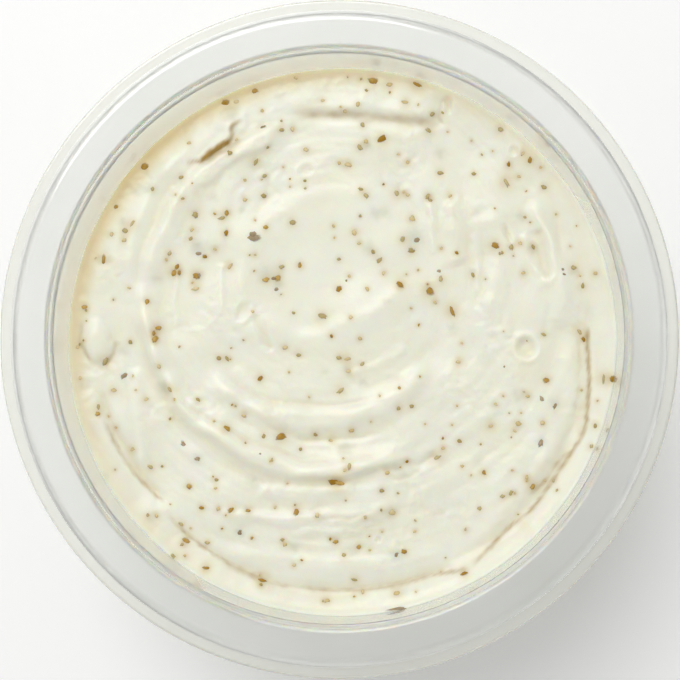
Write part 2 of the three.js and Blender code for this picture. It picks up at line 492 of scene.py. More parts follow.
@dataclass(frozen=True)
class CreamFinish:
    """Moist emulsion: light goes in and comes out warmer, and shade is painted warm into hollows, creases
    and along the wall.
    """

    cream: Colour = linear(243, 243, 230)
    butter: Colour = linear(240, 238, 215)
    # painted shade: the warm, darker colour that hollows get
    hollow_shade: Colour = linear(238, 226, 190)
    sunk_herb: Colour = linear(194, 195, 174)
    spice: Colour = linear(214, 190, 128)
    # painted shade: the tan colour that creases and tears get
    crease_shade: Colour = linear(176, 144, 74)
    # painted shadow: the warm band that the rim would cast along the wall
    rim_shadow: Colour = linear(230, 215, 172)
    scatter: Colour = (1.0, 0.72, 0.36)
    scatter_length: float = 1.2
    grain: SurfaceGrain = SurfaceGrain(0.16, 3.0, 0.55, 0.26, 0.42, 9.0)
    grain_height: float = 0.05
    grain_strength: float = 0.5
    bending: float = 1.45

    def material(self) -> bpy.types.Material:
        """The shader: grain over cream, then painted shade in hollows, sunk herbs, spice, a painted rim
        shadow along the wall and painted shade in creases.

        Returns:
            The material.
        """
        material, wiring = new_material("aioli_cream")
        grain = self.grain.place(wiring, opaque(self.cream), opaque(self.butter))
        colour = grain["Color"]
        # the hollow, wall and crease masks paint shade; the sunk herb and spice masks are the cream's own
        # colour
        for mask in ("hollow_shade", "sunk_herb", "spice", "rim_shadow", "crease_shade"):
            colour = wiring.blend(wiring.mask(mask), colour, opaque(getattr(self, mask)))
        shader = wiring.add("ShaderNodeBsdfPrincipled", subsurface_method="RANDOM_WALK")
        wiring.feed(shader.inputs["Base Color"], colour)
        wiring.feed(shader.inputs["Roughness"], grain["Roughness"])
        normal = wiring.bump(grain["Height"], self.grain_height, self.grain_strength)
        wiring.feed(shader.inputs["Normal"], normal)
        shader.inputs["Subsurface Weight"].default_value = 1.0
        shader.inputs["Subsurface Radius"].default_value = self.scatter
        shader.inputs["Subsurface Scale"].default_value = self.scatter_length * MM
        shader.inputs["IOR"].default_value = self.bending
        wiring.feed(wiring.add("ShaderNodeOutputMaterial").inputs["Surface"], shader.outputs[0])
        return material


@dataclass(frozen=True)
class PlasticFinish:
    """Thin clear polypropylene: slightly milky and green, and it lets lamps through."""

    clear: Colour = linear(243, 244, 241)
    cloudy: Colour = linear(234, 236, 231)
    # painted light: a lighter tint on the neck and lip rings
    painted_light_rings: Colour = linear(248, 249, 240)
    edge_roughness: float = 0.16
    shine_through: Colour = (0.94, 0.945, 0.935)
    clearness: float = 0.8
    bending: float = 1.3
    soak: float = 0.002
    soak_colour: Colour = (1.0, 1.0, 1.0)
    polish: float = 0.03
    grain: SurfaceGrain = SurfaceGrain(0.05, 2.0, 0.6, 0.08, 0.14, 6.0)
    grain_height: float = 0.002
    grain_strength: float = 0.2

    def material(self) -> bpy.types.Material:
        """The shader: milky glass to the eye and plain see-through tint to lamps.

        Returns:
            The material.
        """
        material, wiring = new_material("clear_polypropylene")
        grain = self.grain.place(wiring, opaque(self.clear), opaque(self.cloudy))
        glass = wiring.add("ShaderNodeBsdfPrincipled")
        # the neck and lip rings get a lighter tint, which is painted light, and more roughness
        colour = wiring.blend(wiring.mask("painted_light_rings"), grain["Color"], opaque(self.painted_light_rings))
        wiring.feed(glass.inputs["Base Color"], colour)
        roughness = wiring.between(wiring.mask("painted_light_rings"), grain["Roughness"], self.edge_roughness)
        wiring.feed(glass.inputs["Roughness"], roughness)
        normal = wiring.bump(grain["Height"], self.grain_height, self.grain_strength)
        wiring.feed(glass.inputs["Normal"], normal)
        glass.inputs["Transmission Weight"].default_value = self.clearness
        glass.inputs["IOR"].default_value = self.bending
        glass.inputs["Subsurface Weight"].default_value = 1.0
        glass.inputs["Subsurface Radius"].default_value = self.soak_colour
        glass.inputs["Subsurface Scale"].default_value = self.soak
        glass.inputs["Coat Weight"].default_value = 1.0
        glass.inputs["Coat Roughness"].default_value = self.polish
        tint = wiring.add("ShaderNodeBsdfTransparent")
        tint.inputs["Color"].default_value = opaque(self.shine_through)
        path = wiring.add("ShaderNodeLightPath").outputs
        mix = wiring.add("ShaderNodeMixShader")
        lamplight = wiring.math("MAXIMUM", path["Is Shadow Ray"], path["Is Diffuse Ray"])
        wiring.feed(mix.inputs[0], lamplight)
        wiring.feed(mix.inputs[1], glass.outputs[0])
        wiring.feed(mix.inputs[2], tint.outputs[0])
        wiring.feed(wiring.add("ShaderNodeOutputMaterial").inputs["Surface"], mix.outputs[0])
        return material


@dataclass(frozen=True)
class HerbFinish:
    """Dried leaf or pepper: matt, with a darker and a lighter tone that vary from flake to flake."""

    name: str
    dark: Colour
    light: Colour
    grain: SurfaceGrain = SurfaceGrain(1.6, 3.0, 0.7, 0.35, 0.6, 3.0)
    grain_height: float = 0.06
    grain_strength: float = 0.7
    shine: float = 0.2

    def material(self) -> bpy.types.Material:
        """The shader: each flake's tone and grain, and at its rim the film of cream that covers it.

        Returns:
            The material.
        """
        material, wiring = new_material(self.name)
        tone = wiring.blend(wiring.mask("tone"), opaque(self.dark), opaque(self.light))
        grain = self.grain.place(wiring, tone, opaque(self.dark))
        shader = wiring.add("ShaderNodeBsdfPrincipled")
        wiring.feed(shader.inputs["Base Color"], grain["Color"])
        wiring.feed(shader.inputs["Alpha"], wiring.between(wiring.mask("film"), 1.0, 0.0))
        wiring.feed(shader.inputs["Roughness"], grain["Roughness"])
        normal = wiring.bump(grain["Height"], self.grain_height, self.grain_strength)
        wiring.feed(shader.inputs["Normal"], normal)
        shader.inputs["Specular IOR Level"].default_value = self.shine
        wiring.feed(wiring.add("ShaderNodeOutputMaterial").inputs["Surface"], shader.outputs[0])
        return material


@dataclass(frozen=True)
class FloorFinish:
    """Pale, smooth paper on a dim light table."""

    paper: Colour = linear(250, 250, 250)
    shade: Colour = linear(246, 246, 246)
    glow: float = 0.055
    glow_colour: Colour = (1.0, 1.0, 1.0)
    shine: float = 0.2
    grain: SurfaceGrain = SurfaceGrain(0.02, 2.0, 0.5, 0.6, 0.8, 40.0)

    def material(self) -> bpy.types.Material:
        """The shader: faint patches on matt white.

        Returns:
            The material.
        """
        material, wiring = new_material("pale_floor")
        grain = self.grain.place(wiring, opaque(self.paper), opaque(self.shade))
        shader = wiring.add("ShaderNodeBsdfPrincipled")
        wiring.feed(shader.inputs["Base Color"], grain["Color"])
        wiring.feed(shader.inputs["Roughness"], grain["Roughness"])
        shader.inputs["Specular IOR Level"].default_value = self.shine
        shader.inputs["Emission Color"].default_value = opaque(self.glow_colour)
        shader.inputs["Emission Strength"].default_value = self.glow
        wiring.feed(wiring.add("ShaderNodeOutputMaterial").inputs["Surface"], shader.outputs[0])
        return material


# ------------------------------------------------------------------ tub
@dataclass(frozen=True)
class Tub:
    """The clear tub: a thin cup with a stacking ledge, a flat flange, a skirt and a snap lip."""

    height: float
    lip_radius: float
    wall: float = 0.7
    draft: float = math.radians(10)
    lip_drop: float = 2.1
    lip_thickness: float = 0.8
    lip_flat: float = 0.02
    skirt_radius: float = 48.8
    shoulder: float = 1.5
    flange_thickness: float = 0.8
    neck_radius: float = 43.1
    neck_wall: float = 0.55
    neck_round: float = 0.6
    neck_depth: float = 2.8
    ledge_drop: float = 1.6
    ledge_radius: float = 42.45
    ledge_round: float = 0.35
    floor_level: float = 1.8
    inner_corner: float = 3.2
    outer_corner: float = 2.6
    foot_width: float = 2.4
    foot_round: float = 0.3
    recess_round: float = 0.5
    under_round: float = 0.3
    small_round: float = 0.16
    neck_fade: float = 0.5
    lip_fade: float = 0.2
    segments: int = 800
    arc_steps: int = 4
    edge_row: float = 0.04

    @property
    def ledge_level(self) -> float:
        """Height of the stacking ledge."""
        return self.height - self.ledge_drop

    def inside_radius(self, z: Array | float) -> Array | float:
        """Radius of the wall's inner face at a height: it leans out by the draft."""
        return self.ledge_radius - (self.ledge_level - self.ledge_round - z) * math.tan(self.draft)

    def outside_radius(self, z: float) -> float:
        """Radius of the wall's outer face at a height."""
        return self.inside_radius(z) + self.wall / math.cos(self.draft)

    def corner_centre(self, floor: float, radius: float) -> Point:
        """Centre of the arc that rounds the inner corner between a floor and the wall."""
        level = floor + radius
        return self.inside_radius(level) - radius / math.cos(self.draft), level

    def foot_outer(self) -> float:
        """Radius at which the flat foot ring ends and the outer corner starts."""
        level = self.outer_corner
        return self.inside_radius(level) + (self.wall - self.outer_corner) / math.cos(self.draft)

    def corners(self) -> list[tuple[float, float, float]]:
        """The section's corners, from the axis below to the axis above.

        Returns:
            Radius, height and rounding of each corner, in mm.
        """
        recess = self.floor_level - self.wall
        foot_inner = self.foot_outer() - self.foot_width
        step = self.height - self.neck_depth
        neck_outer = self.neck_radius + self.neck_wall
        flange_under = self.height - self.flange_thickness
        skirt_inner = self.skirt_radius - self.flange_thickness
        lip_top = self.height - self.lip_drop
        lip_under = lip_top - self.lip_thickness
        lip_round = (self.lip_thickness - self.lip_flat) / 2
        return [
            (0, recess, 0),
            (foot_inner - recess, recess, self.recess_round),
            (foot_inner, 0, self.foot_round),
            (self.outside_radius(0), 0, self.outer_corner),
            (self.outside_radius(step), step, self.under_round),
            (neck_outer, step + self.wall, self.under_round),
            (neck_outer, flange_under, self.under_round),
            (skirt_inner, flange_under, self.shoulder - self.flange_thickness),
            (skirt_inner, lip_under, self.small_round),
            (self.lip_radius, lip_under, lip_round),
            (self.lip_radius, lip_top, lip_round),
            (self.skirt_radius, lip_top, self.small_round),
            (self.skirt_radius, self.height, self.shoulder),
            (self.neck_radius, self.height, self.neck_round),
            (self.neck_radius, self.ledge_level, self.small_round),
            (self.ledge_radius, self.ledge_level, self.ledge_round),
            (self.inside_radius(self.floor_level), self.floor_level, self.inner_corner),
            (0, self.floor_level, 0),
        ]

    def profile(self) -> Array:
        """The section as points, each corner an arc that touches both of its edges.

        An arc starts and ends at radius * tan(turn / 2) from its corner. A row of points just
        outside each arc keeps the shading of the flat faces flat.

        Returns:
            One row of radius and height for each point.
        """
        corners = np.array(self.corners())
        points = [corners[0, :2]]
        for before, corner, after in zip(corners, corners[1:], corners[2:]):
            way_in = (corner[:2] - before[:2]) / np.linalg.norm(corner[:2] - before[:2])
            way_out = (after[:2] - corner[:2]) / np.linalg.norm(after[:2] - corner[:2])
            cross = way_in[0] * way_out[1] - way_in[1] * way_out[0]
            turn = math.atan2(cross, float(way_in @ way_out))
            reach = corner[2] * math.tan(abs(turn) / 2)
            side = math.copysign(1, turn)
            centre = corner[:2] - way_in * reach + side * corner[2] * np.array([-way_in[1], way_in[0]])
            start = math.atan2(-side * way_in[0], side * way_in[1])
            angles = start + turn * np.linspace(0, 1, self.arc_steps + 1)
            arc = centre + corner[2] * np.stack([np.cos(angles), np.sin(angles)], axis=1)
            points += [arc[0] - way_in * self.edge_row, *arc, arc[-1] + way_out * self.edge_row]
        points.append(corners[-1, :2])
        return np.array(points)

    def build(self) -> bpy.types.Object:
        """Turns the section about the axis: x = r cos a, y = r sin a, with one point at each pole.

        Returns:
            The shell.
        """
        profile = self.profile()
        angle = np.linspace(0, FULL_TURN, self.segments, endpoint=False)
        radius, level = profile[1:-1, :1], profile[1:-1, 1:]
        rings = np.stack([radius * np.cos(angle), radius * np.sin(angle), level + 0 * angle], axis=2)
        poles = [[0, 0, profile[0, 1]], [0, 0, profile[-1, 1]]]
        points = np.concatenate([rings.reshape(-1, 3), poles])
        count = len(profile) - 2
        quads = sheet_faces(count, self.segments, closed=True)
        ring = np.arange(self.segments)
        below = fan_faces(ring[::-1], len(points) - 2)
        above = fan_faces(ring + (count - 1) * self.segments, len(points) - 1)
        shell = make_piece("tub_shell", points, quads, np.concatenate([below, above]))
        # painted light: mask of the lighter tint on the neck and lip rings
        neck = smooth(radius, self.ledge_radius - self.neck_fade, self.ledge_radius)
        neck = neck * (1 - smooth(radius, self.neck_radius, self.neck_radius + self.neck_round))
        thick = neck + smooth(radius, self.skirt_radius, self.skirt_radius + self.lip_fade)
        paint(shell, "painted_light_rings", np.append(np.repeat(thick, self.segments), [0, 0]))
        dress(shell, PlasticFinish().material())
        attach(shell, ROOT)
        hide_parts("tub")
        return shell


# ------------------------------------------------------------------ relief of the aioli
SWIRL: Point = (-0.65, 9.7)
AXIS: Point = (0.0, 0.0)


@dataclass(frozen=True)
class Stroke:
    """A raised lip, or a furrow where the height is negative, along a stretch of spiral."""

    about: Point
    start_angle: float
    sweep: float
    start_radius: float
    end_radius: float
    bulge: float
    height: float
    inner: float
    outer: float
    fade: float = 0.14

    def along_and_off(self, x: Array, y: Array) -> tuple[Array, Array]:
        """Where points lie against the stroke's line.

        Args:
            x: X of each point, in mm.
            y: Y of each point, in mm.

        Returns:
            Share of the stroke that is passed there, and distance outwards from its line, in mm.
        """
        across, up = x - self.about[0], y - self.about[1]
        turned = np.degrees(np.arctan2(up, across)) - self.start_angle
        along = np.mod(turned, 360) / self.sweep
        line = self.start_radius + (self.end_radius - self.start_radius) * along
        line = line + self.bulge * np.sin(math.pi * np.clip(along, 0, 1))
        return along, np.hypot(across, up) - line

    def ends(self, along: Array) -> Array:
        """Fades both ends of the stroke out."""
        return smooth(along, 0, self.fade) * smooth(1 - along, 0, self.fade)

    def at(self, x: Array, y: Array) -> Array:
        """height * exp(-(off / width)^2), with its own width on each side of the line.

        Args:
            x: X of each point, in mm.
            y: Y of each point, in mm.

        Returns:
            Height at each point, in mm.
        """
        along, off = self.along_and_off(x, y)
        width = np.where(off < 0, self.inner, self.outer)
        return self.height * self.ends(along) * np.exp(-((off / width) ** 2))


@dataclass(frozen=True)
class Fold(Stroke):
    """A fold where the outer side overlaps the inner: inner is the drop's reach, outer the lip's."""

    drop: float = 0.3
    step: float = 0.22
    # tone and its width: the shade painted along the crease
    tone: float = 0.5
    shade_width: float = 0.28

    def at(self, x: Array, y: Array) -> Array:
        """-drop * exp(-off / inner) inside the line and height * exp(-off / outer) outside it.

        Args:
            x: X of each point, in mm.
            y: Y of each point, in mm.

        Returns:
            Height at each point, in mm.
        """
        along, off = self.along_and_off(x, y)
        side = smooth(off, -self.step, self.step)
        low = -self.drop * np.exp(-np.abs(off) / self.inner)
        high = self.height * np.exp(-np.abs(off) / self.outer)
        return self.ends(along) * (low * (1 - side) + high * side)

    def crease_shade(self, x: Array, y: Array) -> Array:
        """Painted shade along the crease: tone * exp(-(off / width)^2) along the line.

        Args:
            x: X of each point, in mm.
            y: Y of each point, in mm.

        Returns:
            Painted shade at each point, 0 to 1 or a little more.
        """
        along, off = self.along_and_off(x, y)
        return self.tone * self.ends(along) * np.exp(-((off / self.shade_width) ** 2))


# about, from, sweep, start, end, bulge, height, inner, outer
MAIN_STROKES = [
    Stroke(SWIRL, 196, 166, 14.2, 10.0, -4.2, 0.40, 1.5, 2.6),  # rim of the pool in the middle
    Stroke(SWIRL, 62, 160, 13.4, 15.6, -0.9, 0.20, 1.6, 1.3),
    Stroke(SWIRL, 214, 104, 24.2, 18.9, 0.3, 0.80, 1.8, 1.5),  # second turn
    Stroke(SWIRL, 108, 76, 23.6, 28.6, -0.4, 0.80, 2.0, 1.1),  # great ridge
    Stroke(SWIRL, 172, 124, 28.4, 28.6, 1.9, 1.25, 2.2, 1.1),
    Stroke(SWIRL, 140, 60, 30.2, 30.6, 0.8, 0.45, 1.3, 1.3),
    Stroke(SWIRL, 248, 28, 33.6, 31.9, 0.0, 0.40, 0.9, 1.3),  # short lips below it
    Stroke(SWIRL, 242, 44, 39.6, 35.6, -1.0, 0.45, 0.9, 1.3),
    Stroke(SWIRL, 4, 32, 18.2, 20.6, -0.4, 0.50, 1.5, 1.5),  # on the right
    Stroke(SWIRL, 345, 40, 23.5, 24.5, 0.5, 0.45, 1.6, 1.8),
    Stroke(AXIS, 236, 62, 36.6, 35.6, -2.4, 0.35, 1.4, 1.4),  # near the wall
    Stroke(AXIS, 239, 60, 38.3, 38.6, -0.9, -0.30, 0.9, 0.9),
    Stroke(AXIS, 296, 70, 39.0, 36.6, 0.7, -0.16, 1.2, 0.5),
    Stroke(AXIS, 300, 62, 36.6, 34.6, 0.3, 0.25, 1.5, 1.3),
    Stroke(AXIS, 2, 36, 33.6, 35.4, -0.2, 0.45, 1.5, 1.0),
    Stroke(AXIS, 190, 34, 36.8, 36.8, -0.6, -0.55, 0.8, 0.8),
    Stroke(AXIS, 187, 26, 31.2, 35.4, -0.6, 0.40, 1.0, 1.0),
    Stroke(AXIS, 64, 40, 37.5, 36.2, -1.4, 0.42, 1.2, 2.3),
    Stroke(AXIS, 64, 38, 35.3, 34.2, -1.4, -0.18, 0.9, 1.2),
]
FINE_STROKES = [
    Stroke(SWIRL, 112, 36, 22.6, 24.2, 0.0, 0.35, 0.5, 0.7),
    Stroke(SWIRL, 110, 30, 24.9, 26.2, 0.1, -0.25, 0.4, 0.5),
    Stroke(SWIRL, 212, 62, 29.8, 27.6, -0.3, -0.30, 0.5, 0.6),
    Stroke(SWIRL, 218, 70, 22.6, 19.0, -0.5, -0.30, 0.6, 0.7),
    Stroke(SWIRL, 174, 26, 24.2, 25.2, -0.5, 0.25, 0.45, 0.45),
    Stroke(SWIRL, 172, 25, 17.8, 18.3, -0.4, 0.22, 0.45, 0.45),
    Stroke(SWIRL, 205, 24, 13.6, 14.6, 0.0, -0.35, 0.6, 0.6),
    Stroke(SWIRL, 274, 43, 14.9, 15.0, 0.2, 0.25, 0.7, 0.7),
    Stroke(SWIRL, 13, 26, 15.4, 17.8, -0.2, 0.25, 0.6, 0.6),
    Stroke(SWIRL, 351, 28, 21.5, 22.0, -0.3, 0.25, 0.6, 0.6),
    Stroke(SWIRL, 282, 18, 30.2, 30.9, 0.2, -0.35, 0.6, 0.6),
    Stroke(SWIRL, 259, 21, 39.4, 37.6, 0.0, 0.22, 0.5, 0.5),
    Stroke(SWIRL, 243, 42, 25.0, 23.9, 0.0, -0.25, 0.7, 0.7),
    Stroke(AXIS, 14, 20, 31.9, 34.5, 1.4, 0.30, 0.5, 0.5),
    Stroke(AXIS, 14, 17, 31.7, 31.4, -0.4, 0.25, 0.5, 0.5),
    Stroke(AXIS, 16, 14, 31.9, 33.2, 0.5, -0.50, 1.0, 1.0),
    Fold(AXIS, 198, 26, 37.5, 35.8, 0.4, 0.12, 0.5, 0.9, drop=0.14),
    Fold(AXIS, 224, 30, 36.9, 37.6, 0.1, 0.14, 0.7, 0.9, drop=0.18),
    # painted shade: a broad warm band along this fold
    Fold(AXIS, 64, 38, 36.1, 34.9, -1.4, 0.05, 0.8, 1.6, drop=0.07, tone=0.42, shade_width=0.75),
]


@dataclass(frozen=True)
class Dent:
    """A round dip with a raised rim, or a mound where the depth is negative."""

    pixel: Point
    radius: float
    depth: float
    rim: float = 0.0
    stretch: float = 1.0
    turn: float = 0.0
    rim_share: float = 0.3
    hollow_share: float = 0.8

    def at(self, x: Array, y: Array) -> Array:
        """rim * exp(-((d - r) / 0.3r)^2) - depth * exp(-(d / 0.8r)^4), d measured in a stretched frame.

        Args:
            x: X of each point, in mm.
            y: Y of each point, in mm.

        Returns:
            Height at each point, in mm.
        """
        cx, cy = PHOTO.place(np.array(self.pixel))
        way = math.radians(self.turn)
        along = ((x - cx) * math.cos(way) + (y - cy) * math.sin(way)) / self.stretch
        across = (y - cy) * math.cos(way) - (x - cx) * math.sin(way)
        share = np.hypot(along, across) / self.radius
        rim = self.rim * np.exp(-(((share - 1) / self.rim_share) ** 2))
        return rim - self.depth * np.exp(-((share / self.hollow_share) ** 4))


DENTS = [
    Dent((526, 348), 1.9, 0.55, 0.22),  # burst bubble on the right
    Dent((97, 341), 2.2, -0.75, 0.0, 1.6, 95),  # smooth blob at the left wall
    Dent((535, 256), 1.1, 0.40, 0.05, 2.6, -68),  # gouge of the spoon's tip
    Dent((507, 234), 0.6, 0.28, 0.04, 3.0, -70),
    Dent((243, 311), 1.2, 0.30, 0.05, 1.5, 60),
    Dent((306, 169), 1.0, 0.18, 0.06, 1.4, 20),
    Dent((514, 151), 0.9, 0.16, 0.12),
    Dent((378, 539), 0.6, 0.14, 0.08),
    Dent((449, 103), 0.8, 0.45, 0.0, 2.0, 95),
    Dent((230, 112), 1.2, 0.22, 0.0, 1.6, 20),
    Dent((402, 470), 1.3, -0.14, 0.0, 2.0, 12),
    Dent((346, 449), 0.8, 0.14, 0.0, 2.4, 5),
]


def rounded_line(corners: Array, steps: int) -> Array:
    """A smooth line through its corners: a Catmull-Rom spline of cubic stretches.

    Args:
        corners: One row of x and y for each corner.
        steps: Number of points for each stretch.

    Returns:
        One row of x and y for each point.
    """
    ahead, behind = 2 * corners[:1] - corners[1:2], 2 * corners[-1:] - corners[-2:-1]
    padded = np.concatenate([ahead, corners, behind])
    before, start = padded[:-3, None], padded[1:-2, None]
    end, after = padded[2:-1, None], padded[3:, None]
    t = np.linspace(0, 1, steps, endpoint=False)[None, :, None]
    curve = 2 * start + (end - before) * t + (2 * before - 5 * start + 4 * end - after) * t**2
    curve = (curve + (3 * start - before - 3 * end + after) * t**3) / 2
    return np.concatenate([curve.reshape(-1, 2), corners[-1:]])


@dataclass(frozen=True)
class Tear:
    """A ragged edge that the spoon tore: the side to the left of the way along it stands higher."""

    pixels: tuple[Point, ...]
    lip: float
    drop: float
    reach: float
    # tone and its width: the shade painted along the tear
    tone: float = 0.2
    shade_width: float = 0.32
    step: float = 0.4
    smoothness: int = 4
    ends: float = 0.22

    def fade_and_off(self, x: Array, y: Array) -> tuple[Array, Array]:
        """Finds the nearest stretch of the tear's line.

        Args:
            x: X of each point, in mm.
            y: Y of each point, in mm.

        Returns:
            How strong the tear is there, 0 to 1, and the distance to the left of its line.
        """
        line = rounded_line(PHOTO.place(np.array(self.pixels)), self.smoothness)
        nearest = np.full(x.shape, np.inf)
        off = np.zeros_like(x)
        along = np.zeros_like(x)
        count = len(line) - 1
        for index, (start, end) in enumerate(zip(line, line[1:])):
            way = end - start
            length = float(np.hypot(*way))
            share = np.clip(((x - start[0]) * way[0] + (y - start[1]) * way[1]) / length**2, 0, 1)
            dx, dy = x - start[0] - share * way[0], y - start[1] - share * way[1]
            distance = np.hypot(dx, dy)
            side = np.sign(way[0] * dy - way[1] * dx)
            closer = distance < nearest
            nearest = np.where(closer, distance, nearest)
            off = np.where(closer, side * distance, off)
            along = np.where(closer, (index + share) / count, along)
        return smooth(along, 0, self.ends) * smooth(1 - along, 0, self.ends), off

    def at(self, x: Array, y: Array) -> Array:
        """lip * exp(-off / reach) on the left of the line and -drop * exp(-off / reach) on the right.

        Args:
            x: X of each point, in mm.
            y: Y of each point, in mm.

        Returns:
            Height at each point, in mm.
        """
        fade, off = self.fade_and_off(x, y)
        high = smooth(off, -self.step, self.step)
        fall = np.exp(-np.abs(off) / self.reach)
        return fade * fall * (self.lip * high - self.drop * (1 - high))

    def crease_shade(self, x: Array, y: Array) -> Array:
        """Painted shade along the crease: tone * exp(-(off / width)^2) along the line.

        Args:
            x: X of each point, in mm.
            y: Y of each point, in mm.

        Returns:
            Painted shade at each point, 0 to 1 or a little more.
        """
        fade, off = self.fade_and_off(x, y)
        return self.tone * fade * np.exp(-((off / self.shade_width) ** 2))


# pixels along the edge, then lip, drop, reach, and the tone and width of the painted crease shade
# tears with no lip or drop only paint shade along a line
TEARS = [
    Tear(
        ((184, 162), (198, 160), (207, 157), (213, 150), (224, 143), (231, 135), (232, 125), (244, 118)),
        lip=0.25,
        drop=0.5,
        reach=1.0,
    ),
    Tear(((184, 162), (192, 160), (201, 160), (209, 155)), 0, 0, 1, 0.4, 0.28),
    Tear(
        ((199, 160), (205, 156), (210, 151), (214, 149), (221, 144), (228, 141), (231, 133)),
        lip=0,
        drop=0,
        reach=1,
        tone=1.3,
        shade_width=0.38,
    ),
    Tear(((196, 164), (208, 160), (220, 151), (233, 146), (240, 132)), 0, 0, 1, 0.35, 0.8),
    Tear(((229, 142), (232, 134), (231, 127), (236, 121), (245, 117)), 0, 0, 1, 0.45, 0.34),
    Tear(((446, 458), (428, 466), (412, 476), (396, 480), (380, 472)), 0.10, 0.12, 0.9, 0.08),
    Tear(((384, 509), (366, 514), (350, 520), (336, 519), (300, 522)), 0.22, 0.28, 0.8),
    Tear(((388, 522), (366, 527), (350, 532), (338, 533)), 0.16, 0.20, 0.7),
    Tear(((84, 318), (80, 336), (86, 352), (95, 366)), 0.25, 0.35, 0.8),
    Tear(((102, 366), (112, 352), (114, 338)), 0.20, 0.40, 0.8),
    Tear(((446, 94), (443, 104), (440, 116), (446, 126)), 0.12, 0.32, 0.8),
    Tear(
        (
            *((586, 322), (587, 352), (588, 385), (583, 430), (567, 457)),
            *((544, 491), (529, 510), (506, 529), (466, 571)),
        ),
        lip=0.06,
        drop=0.09,
        reach=1.0,
        tone=0.7,
        shade_width=0.32,
        ends=0.07,
    ),
    Tear(
        ((470, 568), (450, 571), (430, 574), (400, 583), (366, 588), (330, 589), (296, 586)),
        lip=0.08,
        drop=0.12,
        reach=0.9,
        tone=0.5,
        ends=0.08,
    ),
    Tear(((300, 586), (282, 584), (262, 579), (240, 571), (216, 558)), 0.08, 0.12, 0.9, 0.3),
    Tear(((569, 450), (556, 464), (541, 484), (526, 496)), 0.05, 0.12, 0.8, 0.4),
    Tear(((572, 420), (560, 446), (538, 476), (512, 506), (486, 540)), 0, 0, 1, 0.16, 0.9),
    Tear(((577, 330), (579, 360), (577, 392), (571, 420)), 0.05, 0.12, 0.8, 0.2),
]


# height, waves for each radian and pattern of the ragged line at the wall
RAGGED_EDGE = ((0.16, 7, 41), (0.07, 19, 42))

# height, width in mm, lengths for each radian, shift and pattern of the spoon's streaks
STREAKS = ((0.08, 2.1, 2.6, 7, 1), (0.035, 0.8, 5.2, 3, 2))

# size, height, more height where torn, share left in the middle, and pattern of the lumps
LUMPS = ((1.9, 0.03, 0.085, 0.25, 6), (0.95, 0.015, 0.06, 0.2, 7))


